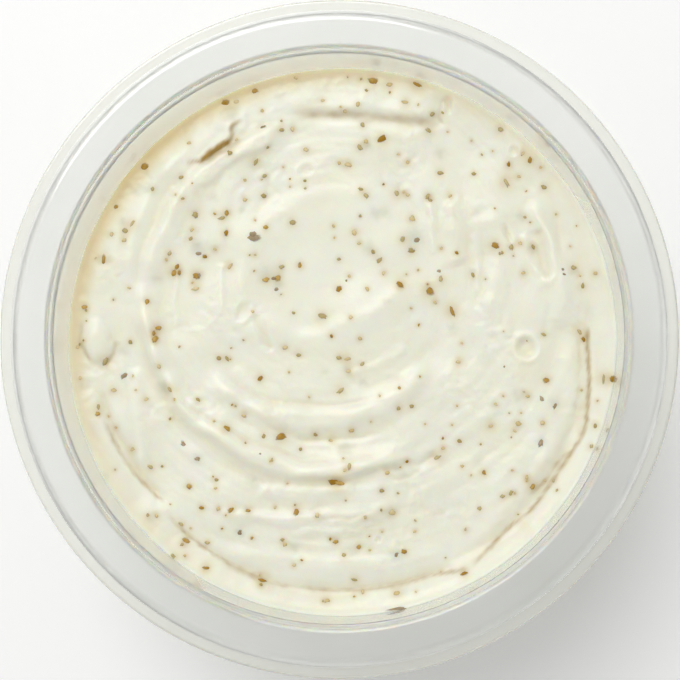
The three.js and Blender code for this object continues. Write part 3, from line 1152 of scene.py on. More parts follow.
@dataclass(frozen=True)
class CreamSurface:
    """The aioli's top: a level that climbs the wall, spoon strokes, and finer and finer lumps."""

    tub: Tub
    level: float = 36.4
    edge_band: float = 4.5
    edge_calm: float = 1.6
    edge_rise: float = 0.5
    edge_swing: float = 1.1
    edge_high: float = math.radians(-45)
    meniscus: float = 0.5
    meniscus_width: float = 0.45
    uneven: Waves = Waves(23, 0.14, 0)
    wander_x: Waves = Waves(17, 0.22, 0.9)
    wander_y: Waves = Waves(17, 0.22, 2.1)
    shake_x: Layer = Layer(0.3, 2.5, 11)
    shake_y: Layer = Layer(0.3, 2.5, 12)
    strength: float = 0.86
    strength_patches: Layer = Layer(0.27, 3.5, 13)
    torn_patches: Layer = Layer(1.0, 7, 5)
    torn_from: float = -0.1
    torn_full: float = 0.7
    ragged_seam: float = 0.3
    streak_seam: float = 0.4
    streaks_from: Point = (9, 16)
    lumps_from: Point = (8, 16)
    main: list[Stroke] = field(default_factory=lambda: MAIN_STROKES)
    fine: list[Stroke] = field(default_factory=lambda: FINE_STROKES)

    def climb(self, angle: Array) -> Array:
        """Climb at the wall: rise + swing * cos(angle - high), and ragged away from the seam at pi.

        Args:
            angle: Directions, in radians from -pi to pi.

        Returns:
            Height over the level in each direction, in mm.
        """
        middle = angle * 0 + 0.5
        ragged = sum(high * noise(angle * rate, middle, seed) for high, rate, seed in RAGGED_EDGE)
        ends = 1 - smooth(np.abs(angle), math.pi - self.ragged_seam, math.pi)
        return self.edge_rise + self.edge_swing * np.cos(angle - self.edge_high) + ragged * ends

    def edge_level(self, angle: Array) -> Array:
        """Height at which the surface meets the wall in a direction."""
        return self.level + self.climb(angle) + self.meniscus

    def comb(self, x: Array, y: Array) -> Array:
        """Streaks along the spoon's path: noise that is short across the swirl and long along it.

        Args:
            x: X of each point, in mm.
            y: Y of each point, in mm.

        Returns:
            Height at each point, in mm.
        """
        across, up = x - SWIRL[0], y - SWIRL[1]
        radius, angle = np.hypot(across, up), np.arctan2(up, across)
        calm = smooth(radius, *self.streaks_from)
        seam = 1 - smooth(np.abs(angle), math.pi - self.streak_seam, math.pi)
        streaks = np.zeros_like(x)
        for height, width, rate, shift, seed in STREAKS:
            streaks = streaks + height * noise(radius / width, angle * rate + shift, seed)
        return streaks * calm * seam

    def lumps(self, x: Array, y: Array) -> Array:
        """Round unevenness, stronger where the cream was torn than where it was smoothed.

        Args:
            x: X of each point, in mm.
            y: Y of each point, in mm.

        Returns:
            Height at each point, in mm.
        """
        calm = smooth(np.hypot(x - SWIRL[0], y - SWIRL[1]), *self.lumps_from)
        torn = smooth(self.torn_patches.at(x, y), self.torn_from, self.torn_full)
        total = np.zeros_like(x)
        for size, height, more, share, seed in LUMPS:
            lump = (height + more * torn) * noise(x / size, y / size, seed)
            total = total + lump * (share + (1 - share) * calm)
        return total

    def height(self, x: Array, y: Array) -> Array:
        """Height of the surface above the foot at points inside the tub.

        It is the level, the climb to the wall and the meniscus's exp(-distance / width), and
        inside the calm edge the sum of the strokes, streaks, lumps, dents and tears.

        Args:
            x: X of each point, in mm.
            y: Y of each point, in mm.

        Returns:
            Height of each point, in mm.
        """
        wall = self.tub.inside_radius(self.level)
        radius = np.hypot(x, y)
        near = smooth(radius, wall - self.edge_band, wall)
        calm = smooth(radius, wall - self.edge_calm, wall)
        u, v = x + self.wander_x.at(x, y), y + self.wander_y.at(x, y)
        strokes = sum(stroke.at(u, v) for stroke in self.main)
        shaken_u, shaken_v = u + self.shake_x.at(x, y), v + self.shake_y.at(x, y)
        strokes = strokes + sum(stroke.at(shaken_u, shaken_v) for stroke in self.fine)
        strokes = strokes * (self.strength + self.strength_patches.at(x, y))
        spots = sum(spot.at(x, y) for spot in (*DENTS, *TEARS))
        rough = self.comb(x, y) + self.lumps(x, y) + spots
        climb = near * self.climb(np.arctan2(y, x))
        climb = climb + self.meniscus * np.exp(-np.clip(wall - radius, 0, None) / self.meniscus_width)
        return self.level + climb + (1 - near) * self.uneven.at(x, y) + (1 - calm) * (strokes + rough)

    def normal(self, x: Array, y: Array, step: float = 0.25) -> Array:
        """Unit normals from the slopes over a short step.

        Args:
            x: X of each point, in mm.
            y: Y of each point, in mm.
            step: Half the distance over which a slope is taken, in mm.

        Returns:
            One row of x, y, z for each point.
        """
        slope_x = (self.height(x + step, y) - self.height(x - step, y)) / (2 * step)
        slope_y = (self.height(x, y + step) - self.height(x, y - step)) / (2 * step)
        rows = np.stack([-slope_x, -slope_y, np.ones_like(x)], axis=1)
        return rows / np.linalg.norm(rows, axis=1, keepdims=True)


# ------------------------------------------------------------------ herbs
class Herb(Enum):
    """Kinds of fleck, by the names of their meshes and materials."""

    GOLD = "herb_gold"
    OLIVE = "herb_olive"
    DARK = "herb_dark"
    PALE = "herb_pale"


# darkest and lightest tone of each kind
HERB_TONES: dict[Herb, tuple[Colour, Colour]] = {
    Herb.GOLD: (linear(160, 118, 14), linear(216, 182, 106)),
    Herb.OLIVE: (linear(176, 158, 100), linear(214, 200, 152)),
    Herb.DARK: (linear(148, 126, 98), linear(196, 178, 146)),
    Herb.PALE: (linear(216, 194, 138), linear(232, 216, 174)),
}

# pixel x and y, length and width in mm, turn in degrees
PLACED_FLECKS: dict[Herb, list[tuple[float, float, float, float, float]]] = {
    Herb.GOLD: [
        (382, 139, 1.7, 1.1, 25),
        (429, 290, 1.7, 1.1, -40),
        (334, 481, 1.7, 1.5, 80),
        (340, 483, 1.7, 1.0, -20),
        (281, 436, 1.6, 1.1, 20),
        (227, 428, 1.4, 1.2, -60),
        (373, 80, 1.5, 1.1, -10),
        (224, 102, 1.6, 1.0, 35),
        (143, 165, 1.3, 1.0, 0),
        (173, 272, 1.2, 1.0, 20),
        (177, 266, 0.9, 0.7, 60),
        (179, 272, 0.9, 0.6, -70),
        (196, 274, 1.5, 0.95, 80),
        (147, 301, 1.0, 0.7, 80),
        (158, 327, 1.2, 0.9, 15),
        (155, 339, 1.2, 0.9, 50),
        (154, 333, 0.9, 0.6, 80),
        (84, 306, 1.1, 0.8, 0),
        (103, 259, 1.6, 0.6, 90),
        (98, 413, 0.8, 0.7, 0),
        (278, 277, 1.1, 0.9, 20),
        (266, 279, 1.1, 0.8, 10),
        (339, 289, 1.1, 0.9, 80),
        (400, 284, 1.4, 0.7, -50),
        (452, 311, 1.9, 0.6, -70),
        (495, 246, 1.4, 0.9, -40),
        (546, 380, 1.0, 0.9, 0),
        (611, 380, 1.2, 0.7, 80),
        (530, 161, 1.2, 0.6, 75),
        (509, 165, 1.0, 0.6, -80),
        (254, 89, 1.0, 0.8, 20),
        (417, 84, 1.6, 0.6, -25),
        (226, 232, 1.0, 0.7, 90),
        (227, 212, 1.0, 0.8, 70),
        (266, 227, 0.8, 0.7, 0),
        (300, 265, 1.0, 0.6, 90),
        (189, 486, 1.0, 0.8, -50),
        (232, 509, 1.1, 0.7, 50),
        (202, 507, 0.9, 0.6, 0),
        (249, 510, 0.9, 0.6, 0),
        (186, 540, 1.2, 0.8, -40),
        (207, 567, 1.2, 0.6, 5),
        (262, 579, 1.7, 0.7, -15),
        (297, 511, 1.2, 1.0, 90),
        (336, 541, 0.9, 0.7, 20),
        (359, 546, 0.8, 0.7, 0),
        (404, 551, 0.9, 0.8, 0),
        (464, 572, 1.2, 0.7, 20),
        (532, 486, 1.2, 0.7, 60),
        (483, 472, 1.0, 0.7, -40),
        (260, 378, 1.0, 0.7, 45),
        (583, 340, 0.9, 0.6, -70),
        (115, 205, 0.8, 0.7, 0),
        (205, 256, 0.8, 0.6, -30),
    ],
    Herb.OLIVE: [
        (322, 316, 1.7, 0.8, -20),
        (256, 161, 1.4, 0.6, 60),
        (230, 152, 0.8, 0.7, 0),
        (360, 147, 1.3, 0.8, -55),
        (363, 124, 1.0, 0.7, -80),
        (366, 195, 1.1, 0.6, -50),
        (361, 189, 0.8, 0.6, 0),
        (398, 194, 1.6, 0.7, -60),
        (428, 196, 1.1, 0.6, 60),
        (430, 200, 0.9, 0.5, -30),
        (440, 173, 1.0, 0.7, 0),
        (474, 174, 0.8, 0.6, 0),
        (506, 182, 2.0, 0.6, -62),
        (544, 188, 1.0, 0.7, -20),
        (500, 130, 1.0, 0.7, 0),
        (430, 131, 1.5, 0.6, -25),
        (433, 114, 0.9, 0.7, 40),
        (511, 247, 1.1, 0.7, -75),
        (533, 247, 1.0, 0.6, -70),
        (441, 280, 1.0, 0.7, 85),
        (473, 276, 1.0, 0.6, -65),
        (573, 268, 1.0, 0.7, -20),
        (582, 287, 0.9, 0.7, 80),
        (544, 335, 0.9, 0.5, -10),
        (578, 331, 1.4, 0.5, -65),
        (602, 379, 1.8, 0.5, 88),
        (594, 426, 0.9, 0.6, 80),
        (590, 447, 0.8, 0.6, 40),
        (437, 457, 1.7, 0.7, 33),
        (459, 441, 0.8, 0.6, -30),
        (479, 508, 0.8, 0.7, -30),
        (502, 496, 0.8, 0.6, 20),
        (510, 493, 1.0, 0.6, 60),
        (399, 408, 0.9, 0.7, 20),
        (412, 406, 0.8, 0.6, 0),
        (341, 390, 1.5, 0.6, 35),
        (339, 357, 0.8, 0.7, 0),
        (362, 364, 0.8, 0.6, 40),
        (299, 355, 0.9, 0.6, 0),
        (219, 358, 0.9, 0.7, -20),
        (227, 358, 1.0, 0.5, -60),
        (130, 341, 0.8, 0.6, -50),
        (170, 389, 1.2, 0.6, -50),
        (198, 399, 0.8, 0.6, -50),
        (105, 361, 1.5, 0.7, 60),
        (98, 406, 1.1, 0.5, 88),
        (124, 230, 1.3, 0.9, 20),
        (131, 223, 1.5, 0.5, 50),
        (195, 213, 1.3, 0.9, 75),
        (222, 217, 1.1, 0.6, 20),
        (190, 238, 0.8, 0.6, 20),
        (181, 176, 0.8, 0.6, 0),
        (152, 188, 0.8, 0.6, 70),
        (169, 253, 0.8, 0.6, 40),
        (264, 195, 1.0, 0.8, 0),
        (265, 175, 0.8, 0.6, 10),
        (281, 129, 0.9, 0.6, 0),
        (292, 222, 1.2, 0.8, 0),
        (412, 251, 1.3, 0.8, 0),
        (403, 240, 1.1, 0.8, 90),
        (380, 260, 1.1, 0.7, 50),
        (373, 252, 0.9, 0.6, -40),
        (339, 259, 0.7, 0.5, 0),
        (281, 267, 1.1, 0.7, 30),
        (151, 467, 1.1, 0.6, -35),
        (175, 556, 1.1, 0.6, -35),
        (182, 524, 0.9, 0.5, -35),
        (208, 542, 0.8, 0.6, -10),
        (264, 436, 0.8, 0.6, 60),
        (315, 434, 0.8, 0.6, 0),
        (344, 554, 0.9, 0.7, 0),
        (355, 579, 1.1, 0.5, -20),
        (350, 466, 1.1, 0.6, 85),
        (382, 490, 0.9, 0.7, 10),
    ],
    Herb.DARK: [
        (253, 237, 2.1, 1.2, -5),
        (253, 234, 1.0, 1.1, 60),
        (399, 607, 3.1, 0.5, 6),
        (124, 375, 1.2, 0.8, 40),
        (184, 444, 1.1, 0.6, -45),
        (541, 399, 1.1, 0.6, -50),
        (540, 443, 1.3, 0.8, 75),
        (273, 278, 1.0, 0.5, 10),
        (276, 289, 0.8, 0.6, 30),
        (417, 240, 1.0, 0.8, 20),
        (199, 275, 0.9, 0.5, 80),
        (198, 253, 1.1, 0.7, 0),
        (198, 458, 0.9, 0.7, 10),
        (240, 532, 0.8, 0.7, 80),
        (396, 554, 0.9, 0.6, 60),
        (439, 271, 0.7, 0.5, 0),
        (500, 254, 0.6, 0.5, 0),
        (554, 406, 1.1, 0.5, 65),
        (262, 126, 1.4, 0.6, 0),
    ],
    Herb.PALE: [
        (392, 512, 1.3, 1.1, 0),
        (412, 219, 1.1, 1.0, 0),
        (355, 232, 1.0, 0.9, 90),
        (390, 84, 1.2, 0.8, 0),
        (406, 102, 1.3, 0.7, -10),
        (348, 164, 1.3, 0.8, -20),
        (306, 149, 0.9, 0.7, 0),
        (408, 162, 0.8, 0.7, 0),
        (408, 195, 0.8, 0.6, 0),
        (196, 287, 1.3, 0.9, 30),
        (229, 266, 1.2, 0.7, 40),
        (123, 239, 0.9, 0.8, 0),
        (110, 233, 0.8, 0.7, 90),
        (236, 100, 1.1, 0.8, 0),
        (296, 76, 0.9, 0.6, 0),
        (146, 399, 0.9, 0.6, 40),
        (113, 390, 1.0, 0.8, 0),
        (459, 362, 1.1, 0.6, 0),
        (518, 424, 1.1, 0.8, 0),
        (542, 423, 0.9, 0.8, 70),
        (491, 426, 1.2, 0.6, 0),
        (523, 274, 0.9, 0.7, 0),
        (397, 592, 1.3, 0.8, 0),
        (327, 599, 1.0, 0.7, 0),
        (294, 564, 0.8, 0.6, 0),
        (352, 430, 1.0, 0.7, 0),
        (332, 440, 1.0, 0.5, 0),
        (347, 359, 1.2, 0.6, 10),
        (349, 371, 1.2, 0.7, 0),
        (285, 347, 0.9, 0.7, 0),
        (387, 472, 0.8, 0.7, 0),
        (219, 508, 0.8, 0.7, 0),
        (186, 555, 0.6, 0.5, 0),
        (546, 578, 0.5, 0.4, 0),
        (384, 273, 0.8, 0.6, 60),
        (435, 302, 0.8, 0.6, -80),
        (159, 366, 0.8, 0.6, -60),
        (346, 111, 0.8, 0.6, 0),
        (450, 196, 0.8, 0.5, 60),
        (526, 477, 0.9, 0.6, 90),
        (523, 154, 0.8, 0.6, 50),
    ],
}

# pixel x and y, radius in mm and strength of the herbs that show through the surface
SUNK_HERBS: list[tuple[float, float, float, float]] = [
    (231, 111, 1.3, 0.55),
    (219, 127, 1.4, 0.30),
    (367, 144, 1.1, 0.75),
    (122, 221, 1.0, 0.60),
    (197, 245, 1.9, 0.60),
    (214, 247, 1.3, 0.35),
    (376, 213, 1.3, 0.45),
    (386, 212, 1.0, 0.35),
    (414, 237, 1.9, 0.50),
    (369, 248, 1.3, 0.45),
    (163, 388, 1.3, 0.60),
    (401, 470, 1.3, 0.45),
    (394, 469, 1.0, 0.35),
    (345, 449, 1.4, 0.35),
    (157, 278, 1.0, 0.40),
    (199, 275, 1.0, 0.60),
    (440, 154, 1.2, 0.45),
    (478, 208, 1.0, 0.35),
    (520, 216, 1.2, 0.50),
    (363, 383, 0.9, 0.50),
    (349, 371, 1.1, 0.35),
    (324, 371, 1.0, 0.30),
    (387, 302, 0.9, 0.35),
    (518, 397, 1.4, 0.40),
    (540, 441, 1.0, 0.55),
    (554, 404, 1.1, 0.45),
    (253, 480, 1.0, 0.45),
    (240, 532, 1.0, 0.50),
    (151, 517, 1.0, 0.35),
    (294, 546, 1.1, 0.45),
    (105, 478, 1.0, 0.45),
    (80, 384, 0.9, 0.40),
    (267, 273, 1.8, 0.40),
    (278, 284, 1.2, 0.45),
    (452, 328, 1.2, 0.45),
    (487, 360, 1.5, 0.25),
    (395, 552, 1.0, 0.50),
    (354, 552, 1.2, 0.35),
    (122, 350, 1.6, 0.35),
    (573, 273, 0.9, 0.45),
    (471, 271, 0.8, 0.45),
    (213, 196, 0.9, 0.35),
    (242, 209, 0.8, 0.45),
    (478, 462, 1.1, 0.30),
    (532, 252, 1.2, 0.30),
    (198, 458, 1.2, 0.40),
]


# number, shortest and greatest length and reach in mm, and start of the random numbers
STREWN_FLECKS: dict[Herb, tuple[int, Point, float, int]] = {
    Herb.GOLD: (24, (0.3, 0.7), 39, 3),
    Herb.OLIVE: (60, (0.3, 0.7), 40, 4),
    Herb.DARK: (7, (0.3, 0.6), 39, 5),
    Herb.PALE: (100, (0.4, 0.95), 40, 6),
}

# width of a strewn fleck as a share of its length: the least, and how far it varies
SLIMMEST = 0.55
SLIM_RANGE = 0.4

# how far each kind stands out of the cream, in thicknesses of the flake
PROUD: dict[Herb, float] = {Herb.GOLD: 0.1, Herb.OLIVE: 0.0, Herb.DARK: 0.0, Herb.PALE: -0.2}

# start of the random numbers of the first kind's flakes
HERB_SEED = 50


@dataclass(frozen=True)
class Fleckset:
    """Places and sizes of the flecks of one kind, as arrays in mm and radians."""

    x: Array
    y: Array
    length: Array
    width: Array
    turn: Array

    @staticmethod
    def placed(rows: list[tuple[float, float, float, float, float]]) -> Fleckset:
        """Flecks at places in the photograph.

        Args:
            rows: Pixel x and y, length and width in mm, and turn in degrees of each.

        Returns:
            The flecks.
        """
        table = np.array(rows)
        place = PHOTO.place(table[:, :2])
        return Fleckset(place[:, 0], place[:, 1], table[:, 2], table[:, 3], np.radians(table[:, 4]))

    @staticmethod
    def strewn(count: int, sizes: Point, reach: float, seed: int) -> Fleckset:
        """Flecks spread evenly over a disc, more of them small than large.

        Args:
            count: How many there are.
            sizes: Shortest and greatest length, in mm.
            reach: Radius of the disc, in mm.
            seed: Start of the random numbers.

        Returns:
            The flecks.
        """
        draw = np.random.default_rng(seed)
        radius = reach * np.sqrt(draw.random(count))
        angle = FULL_TURN * draw.random(count)
        length = sizes[0] + (sizes[1] - sizes[0]) * draw.random(count) ** 2
        width = length * (SLIMMEST + SLIM_RANGE * draw.random(count))
        turn = math.pi * draw.random(count)
        return Fleckset(radius * np.cos(angle), radius * np.sin(angle), length, width, turn)

    def joined(self, other: Fleckset) -> Fleckset:
        """Puts two sets together.

        Args:
            other: The flecks that come after these.

        Returns:
            These flecks and the others.
        """
        pairs = ((self.x, other.x), (self.y, other.y), (self.length, other.length))
        pairs += ((self.width, other.width), (self.turn, other.turn))
        return Fleckset(*(np.concatenate(pair) for pair in pairs))


@dataclass(frozen=True)
class Herbs:
    """Dried flakes that lie half in the cream, all of one kind in one mesh.

    Radii are shares of half the flake's length and width, and heights are in thicknesses.
    """

    kind: Herb
    flecks: Fleckset
    proud: float
    seed: int
    sectors: int = 9
    thickness: float = 0.11
    thick_share: Point = (0.6, 0.4)
    thick_range: Point = (0.7, 0.6)
    tilt: float = 0.12
    sink: float = 0.9
    spread: float = 1.2
    jaggedness: float = 0.2
    jag_limit: float = 1.6
    curl: float = 0.2
    middle_radius: float = 0.6
    middle_swing: float = 0.08
    middle_rise: float = 0.55
    middle_curl: float = 0.5
    crown_rise: float = 0.8
    crown_swing: float = 0.2
    keel_drop: float = 0.6
    rim_film: float = 1.0
    middle_film: float = 0.2

    def build(self, surface: CreamSurface) -> bpy.types.Object:
        """Makes every flake from one pattern: a jagged rim, a bent middle ring, a crown and a keel.

        A point is the flake's place plus length/2 * u along it, width/2 * v across it and
        w * thickness along the surface's normal, where (u, v) lies on a circle of jagged radius.

        Args:
            surface: The cream that the flakes lie in.

        Returns:
            The mesh of all flakes.
        """
        draw = np.random.default_rng(self.seed)
        flecks, count = self.flecks, len(self.flecks.x)
        normal = surface.normal(flecks.x, flecks.y) + self.tilt * draw.normal(size=(count, 3))
        normal /= np.linalg.norm(normal, axis=1, keepdims=True)
        heading = np.stack([np.cos(flecks.turn), np.sin(flecks.turn), np.zeros(count)], axis=1)
        heading -= normal * np.sum(normal * heading, axis=1, keepdims=True)
        heading /= np.linalg.norm(heading, axis=1, keepdims=True)
        across = np.cross(normal, heading)
        thick = self.thickness * (self.thick_share[0] + self.thick_share[1] * flecks.width)
        thick = thick * (self.thick_range[0] + self.thick_range[1] * draw.random(count))
        base = np.stack([flecks.x, flecks.y, surface.height(flecks.x, flecks.y)], axis=1)
        base += normal * (self.proud * thick)[:, None]

        angle = np.linspace(0, FULL_TURN, self.sectors, endpoint=False)
        shape, centre = (count, self.sectors), np.zeros((count, 1))
        jag = 1 + self.jaggedness * draw.normal(size=shape).clip(-self.jag_limit, self.jag_limit)
        curl = self.curl * draw.normal(size=shape)
        inner = self.middle_radius + self.middle_swing * draw.normal(size=shape)
        rim = (jag * np.cos(angle), jag * np.sin(angle), curl - self.sink)
        lifted = self.middle_rise + self.middle_curl * curl
        middle = (inner * np.cos(angle), inner * np.sin(angle), lifted)
        top = self.crown_rise + self.crown_swing * draw.normal(size=(count, 1))
        crown = (centre, centre, top)
        keel = (centre, centre, centre - self.sink - self.keel_drop)
        u, v, w = (np.concatenate(parts, axis=1) for parts in zip(rim, middle, crown, keel))
        along = u * flecks.length[:, None] * self.spread / 2
        aside = v * flecks.width[:, None] * self.spread / 2
        points = base[:, None, :] + heading[:, None, :] * along[:, :, None]
        points = points + across[:, None, :] * aside[:, :, None]
        points = points + normal[:, None, :] * (w * thick[:, None])[:, :, None]

        ring = np.arange(self.sectors)
        quads = sheet_faces(2, self.sectors, closed=True)
        tops = fan_faces(ring + self.sectors, 2 * self.sectors)
        keels = fan_faces(ring[::-1], 2 * self.sectors + 1)
        each = u.shape[1]
        offsets = each * np.arange(count)[:, None, None]
        quads = (quads[None] + offsets).reshape(-1, 4)
        triangles = (np.concatenate([tops, keels])[None] + offsets).reshape(-1, 3)
        piece = make_piece(self.kind.value, points.reshape(-1, 3), quads, triangles)
        rounded = np.arange(len(quads) + len(triangles)) < len(quads)
        rounded[len(quads) :] = np.tile(np.repeat([True, False], self.sectors), count)
        piece.data.polygons.foreach_set("use_smooth", rounded)
        paint(piece, "tone", np.repeat(draw.random(count), each))
        film = np.repeat([self.rim_film, self.middle_film, 0, 1], [self.sectors, self.sectors, 1, 1])
        paint(piece, "film", np.tile(film, count))
        dark, light = HERB_TONES[self.kind]
        dress(piece, HerbFinish(self.kind.value, dark, light).material())
        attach(piece, ROOT)
        return piece


# ------------------------------------------------------------------ aioli
# how strongly each kind of fleck stains the cream round it
SPICE_STRENGTHS = {Herb.GOLD: 0.5, Herb.OLIVE: 0.4, Herb.PALE: 0.45}


@dataclass(frozen=True)
class Aioli:
    """The plug of aioli: a swirled top on a grid that is square inside and round outside."""

    surface: CreamSurface
    cells: int = 276
    into_wall: float = 0.1
    side_rows: int = 5
    corner_rows: int = 5
    hollow_shade_blur: int = 26
    # where and how wide the rim's painted shadow lies along the wall
    rim_shadow_way: float = math.radians(136)
    rim_shadow_spread: float = math.radians(62)
    rim_shadow_width: float = 1.5
    rim_shadow_inset: float = 1.0
    rim_shadow_shake: Layer = Layer(0.35, 3.1, 34)
    floor_rings: int = 2
    hollow_shade_depth: float = 0.7
    sunk_shake_x: Layer = Layer(0.35, 1.0, 21)
    sunk_shake_y: Layer = Layer(0.35, 1.0, 22)
    sunk_strength: float = 0.8
    sunk_size: float = 0.72
    spice_size: float = 0.62
    spice_margin: float = 0.15
    spice_reach: float = 3.0
    crease_shade_shake_x: Layer = Layer(0.15, 0.9, 31)
    crease_shade_shake_y: Layer = Layer(0.15, 0.9, 32)
    crease_shade_strength: float = 0.85
    crease_shade_patches: Layer = Layer(0.5, 1.6, 33)

    def disc(self) -> tuple[Array, Array]:
        """Radius share and angle of every grid point.

        The square's rings become circles: the share is the larger of |a| and |b|, and the angle
        runs evenly along each side of the square.

        Returns:
            Two arrays of (cells + 1) rows and columns.
        """
        line = np.linspace(-1, 1, self.cells + 1)
        a, b = np.meshgrid(line, line)
        share = np.maximum(np.abs(a), np.abs(b))
        safe = np.where(share == 0, 1, share)
        wide = np.abs(a) >= np.abs(b)
        sideways = math.pi / 4 * b / np.where(wide, np.where(a == 0, 1, a), safe)
        sideways = sideways + np.where(a < 0, math.pi, 0)
        upwards = math.pi / 2 - math.pi / 4 * a / np.where(wide, safe, np.where(b == 0, 1, b))
        upwards = upwards + np.where(b < 0, math.pi, 0)
        angle = np.where(wide, sideways, upwards)
        return share, np.arctan2(np.sin(angle), np.cos(angle))

    def hollow_shades(self, height: Array) -> Array:
        """Painted shade in hollows: how far each grid point lies below its surroundings, blurred by the
        mean of 4 neighbours.

        Args:
            height: Height of each grid point, in mm.

        Returns:
            The painted hollow shade, 0 to 1, of the same shape.
        """
        blurred = height
        for _ in range(self.hollow_shade_blur):
            padded = np.pad(blurred, 1, mode="edge")
            blurred = padded[:-2, 1:-1] + padded[2:, 1:-1] + padded[1:-1, :-2] + padded[1:-1, 2:]
            blurred = blurred / 4
        return np.clip((blurred - height) / self.hollow_shade_depth, 0, 1)

    def border(self) -> Array:
        """Finds the grid's outer points.

        Returns:
            Their indices, once round, from the lower left corner.
        """
        size = self.cells + 1
        index = np.arange(size * size).reshape(size, size)
        return np.concatenate([index[0, :-1], index[:-1, -1], index[-1, :0:-1], index[:0:-1, 0]])

    def sides(self, edge: Array) -> Array:
        """Rings of points from the top's edge down the wall, round the corner and over the floor.

        Args:
            edge: The top's outer points, once round.

        Returns:
            Rows of rings of points.
        """
        tub, into = self.surface.tub, self.into_wall
        angle = np.arctan2(edge[:, 1], edge[:, 0])
        centre, level = tub.corner_centre(tub.floor_level, tub.inner_corner)
        rounding = tub.inner_corner + into
        turn = np.linspace(-tub.draft, -math.pi / 2, self.corner_rows + 1)
        arc_radius = centre + rounding * np.cos(turn)
        arc_level = level + rounding * np.sin(turn)
        share = np.linspace(0, 1, self.side_rows + 1)[1:-1, None]
        wall_level = edge[:, 2] * (1 - share) + arc_level[0] * share
        wall_radius = tub.inside_radius(wall_level) + into
        flat = centre * np.linspace(1, 0, self.floor_rings + 2)[1:-1]
        below_radius = np.concatenate([arc_radius, flat])[:, None]
        below_level = np.concatenate([arc_level, np.full(len(flat), arc_level[-1])])[:, None]
        radius = np.concatenate([wall_radius, np.repeat(below_radius, len(edge), axis=1)])
        height = np.concatenate([wall_level, np.repeat(below_level, len(edge), axis=1)])
        return np.stack([radius * np.cos(angle), radius * np.sin(angle), height], axis=2)

    def stains(self, x: Array, y: Array, flecks: dict[Herb, Fleckset]) -> tuple[Array, Array]:
        """Colour round and over the herbs: grey-green where they are sunk, tan where they bleed.

        Each is the sum of exp(-(d / r)^2) over the herbs.

        Args:
            x: X of each point, in mm.
            y: Y of each point, in mm.
            flecks: The flecks of each kind.

        Returns:
            The sunk herb mask and the spice mask.
        """
        sunk = np.zeros_like(x)
        shaken_x = x + self.sunk_shake_x.at(x, y)
        shaken_y = y + self.sunk_shake_y.at(x, y)
        for px, py, radius, strength in SUNK_HERBS:
            cx, cy = PHOTO.place(np.array([px, py]))
            share = np.hypot(shaken_x - cx, shaken_y - cy) / (self.sunk_size * radius)
            sunk += self.sunk_strength * strength * np.exp(-(share**2))
        spice = np.zeros_like(x)
        for kind, strength in SPICE_STRENGTHS.items():
            rows = flecks[kind]
            for cx, cy, length in zip(rows.x, rows.y, rows.length):
                box = (np.abs(x - cx) < self.spice_reach) & (np.abs(y - cy) < self.spice_reach)
                distance = np.hypot(x[box] - cx, y[box] - cy)
                share = distance / (self.spice_size * length + self.spice_margin)
                spice[box] += strength * np.exp(-(share**2))
        return np.clip(sunk, 0, 1), np.clip(spice, 0, 1)

    def crease_shades(self, x: Array, y: Array) -> Array:
        """Painted shade along all creases and tears, broken up by noise.

        Args:
            x: X of each point, in mm.
            y: Y of each point, in mm.

        Returns:
            The painted crease shade at each point, 0 to 1.
        """
        lines = [line for line in (*self.surface.fine, *TEARS) if isinstance(line, (Fold, Tear))]
        shaken_x = x + self.crease_shade_shake_x.at(x, y)
        shaken_y = y + self.crease_shade_shake_y.at(x, y)
        total = sum(line.crease_shade(shaken_x, shaken_y) for line in lines)
        return np.clip(total * (self.crease_shade_strength + self.crease_shade_patches.at(x, y)), 0, 1)

    def rim_shadow(self, x: Array, y: Array) -> Array:
        """Painted shadow of the rim along the wall, most of it on the side away from the high edge.

        It is exp(-(turn from that side / spread)^2) * exp(-(distance from its line / width)^2).

        Args:
            x: X of each point, in mm.
            y: Y of each point, in mm.

        Returns:
            The oil mask at each point, 0 to 1.
        """
        radius, angle = np.hypot(x, y), np.arctan2(y, x)
        wall = self.surface.tub.inside_radius(self.surface.level)
        turned = np.arctan2(np.sin(angle - self.rim_shadow_way), np.cos(angle - self.rim_shadow_way))
        side = np.exp(-((turned / self.rim_shadow_spread) ** 2))
        inward = wall - radius + self.rim_shadow_shake.at(x, y) - self.rim_shadow_inset
        return side * np.exp(-((inward / self.rim_shadow_width) ** 2))

    def build(self, flecks: dict[Herb, Fleckset]) -> bpy.types.Object:
        """Builds the closed plug, paints its masks and dresses it.

        Args:
            flecks: The flecks that stain it.

        Returns:
            The plug.
        """
        surface, tub = self.surface, self.surface.tub
        share, angle = self.disc()
        edge = tub.inside_radius(surface.edge_level(angle)) + self.into_wall
        x, y = share * edge * np.cos(angle), share * edge * np.sin(angle)
        height = surface.height(x, y)
        top = np.stack([x.ravel(), y.ravel(), height.ravel()], axis=1)
        border = self.border()
        sides = self.sides(top[border])
        pole = [[0, 0, sides[-1, 0, 2]]]
        points = np.concatenate([top, sides.reshape(-1, 3), pole])
        size, around, first = self.cells + 1, len(border), len(top)
        ring = first + np.arange(around)
        seam = np.stack([border, ring, np.roll(ring, -1), np.roll(border, -1)], axis=1)
        wall = sheet_faces(len(sides), around, first, closed=True)[:, ::-1]
        quads = np.concatenate([sheet_faces(size, size), seam, wall])
        last = first + (len(sides) - 1) * around + np.arange(around)
        plug = make_piece("aioli_fill", points, quads, fan_faces(last[::-1], len(points) - 1))
        across, up = points[:, 0], points[:, 1]
        sunk, spice = self.stains(across, up, flecks)
        hollow_shade = np.zeros(len(points))
        hollow_shade[:first] = self.hollow_shades(height).ravel()
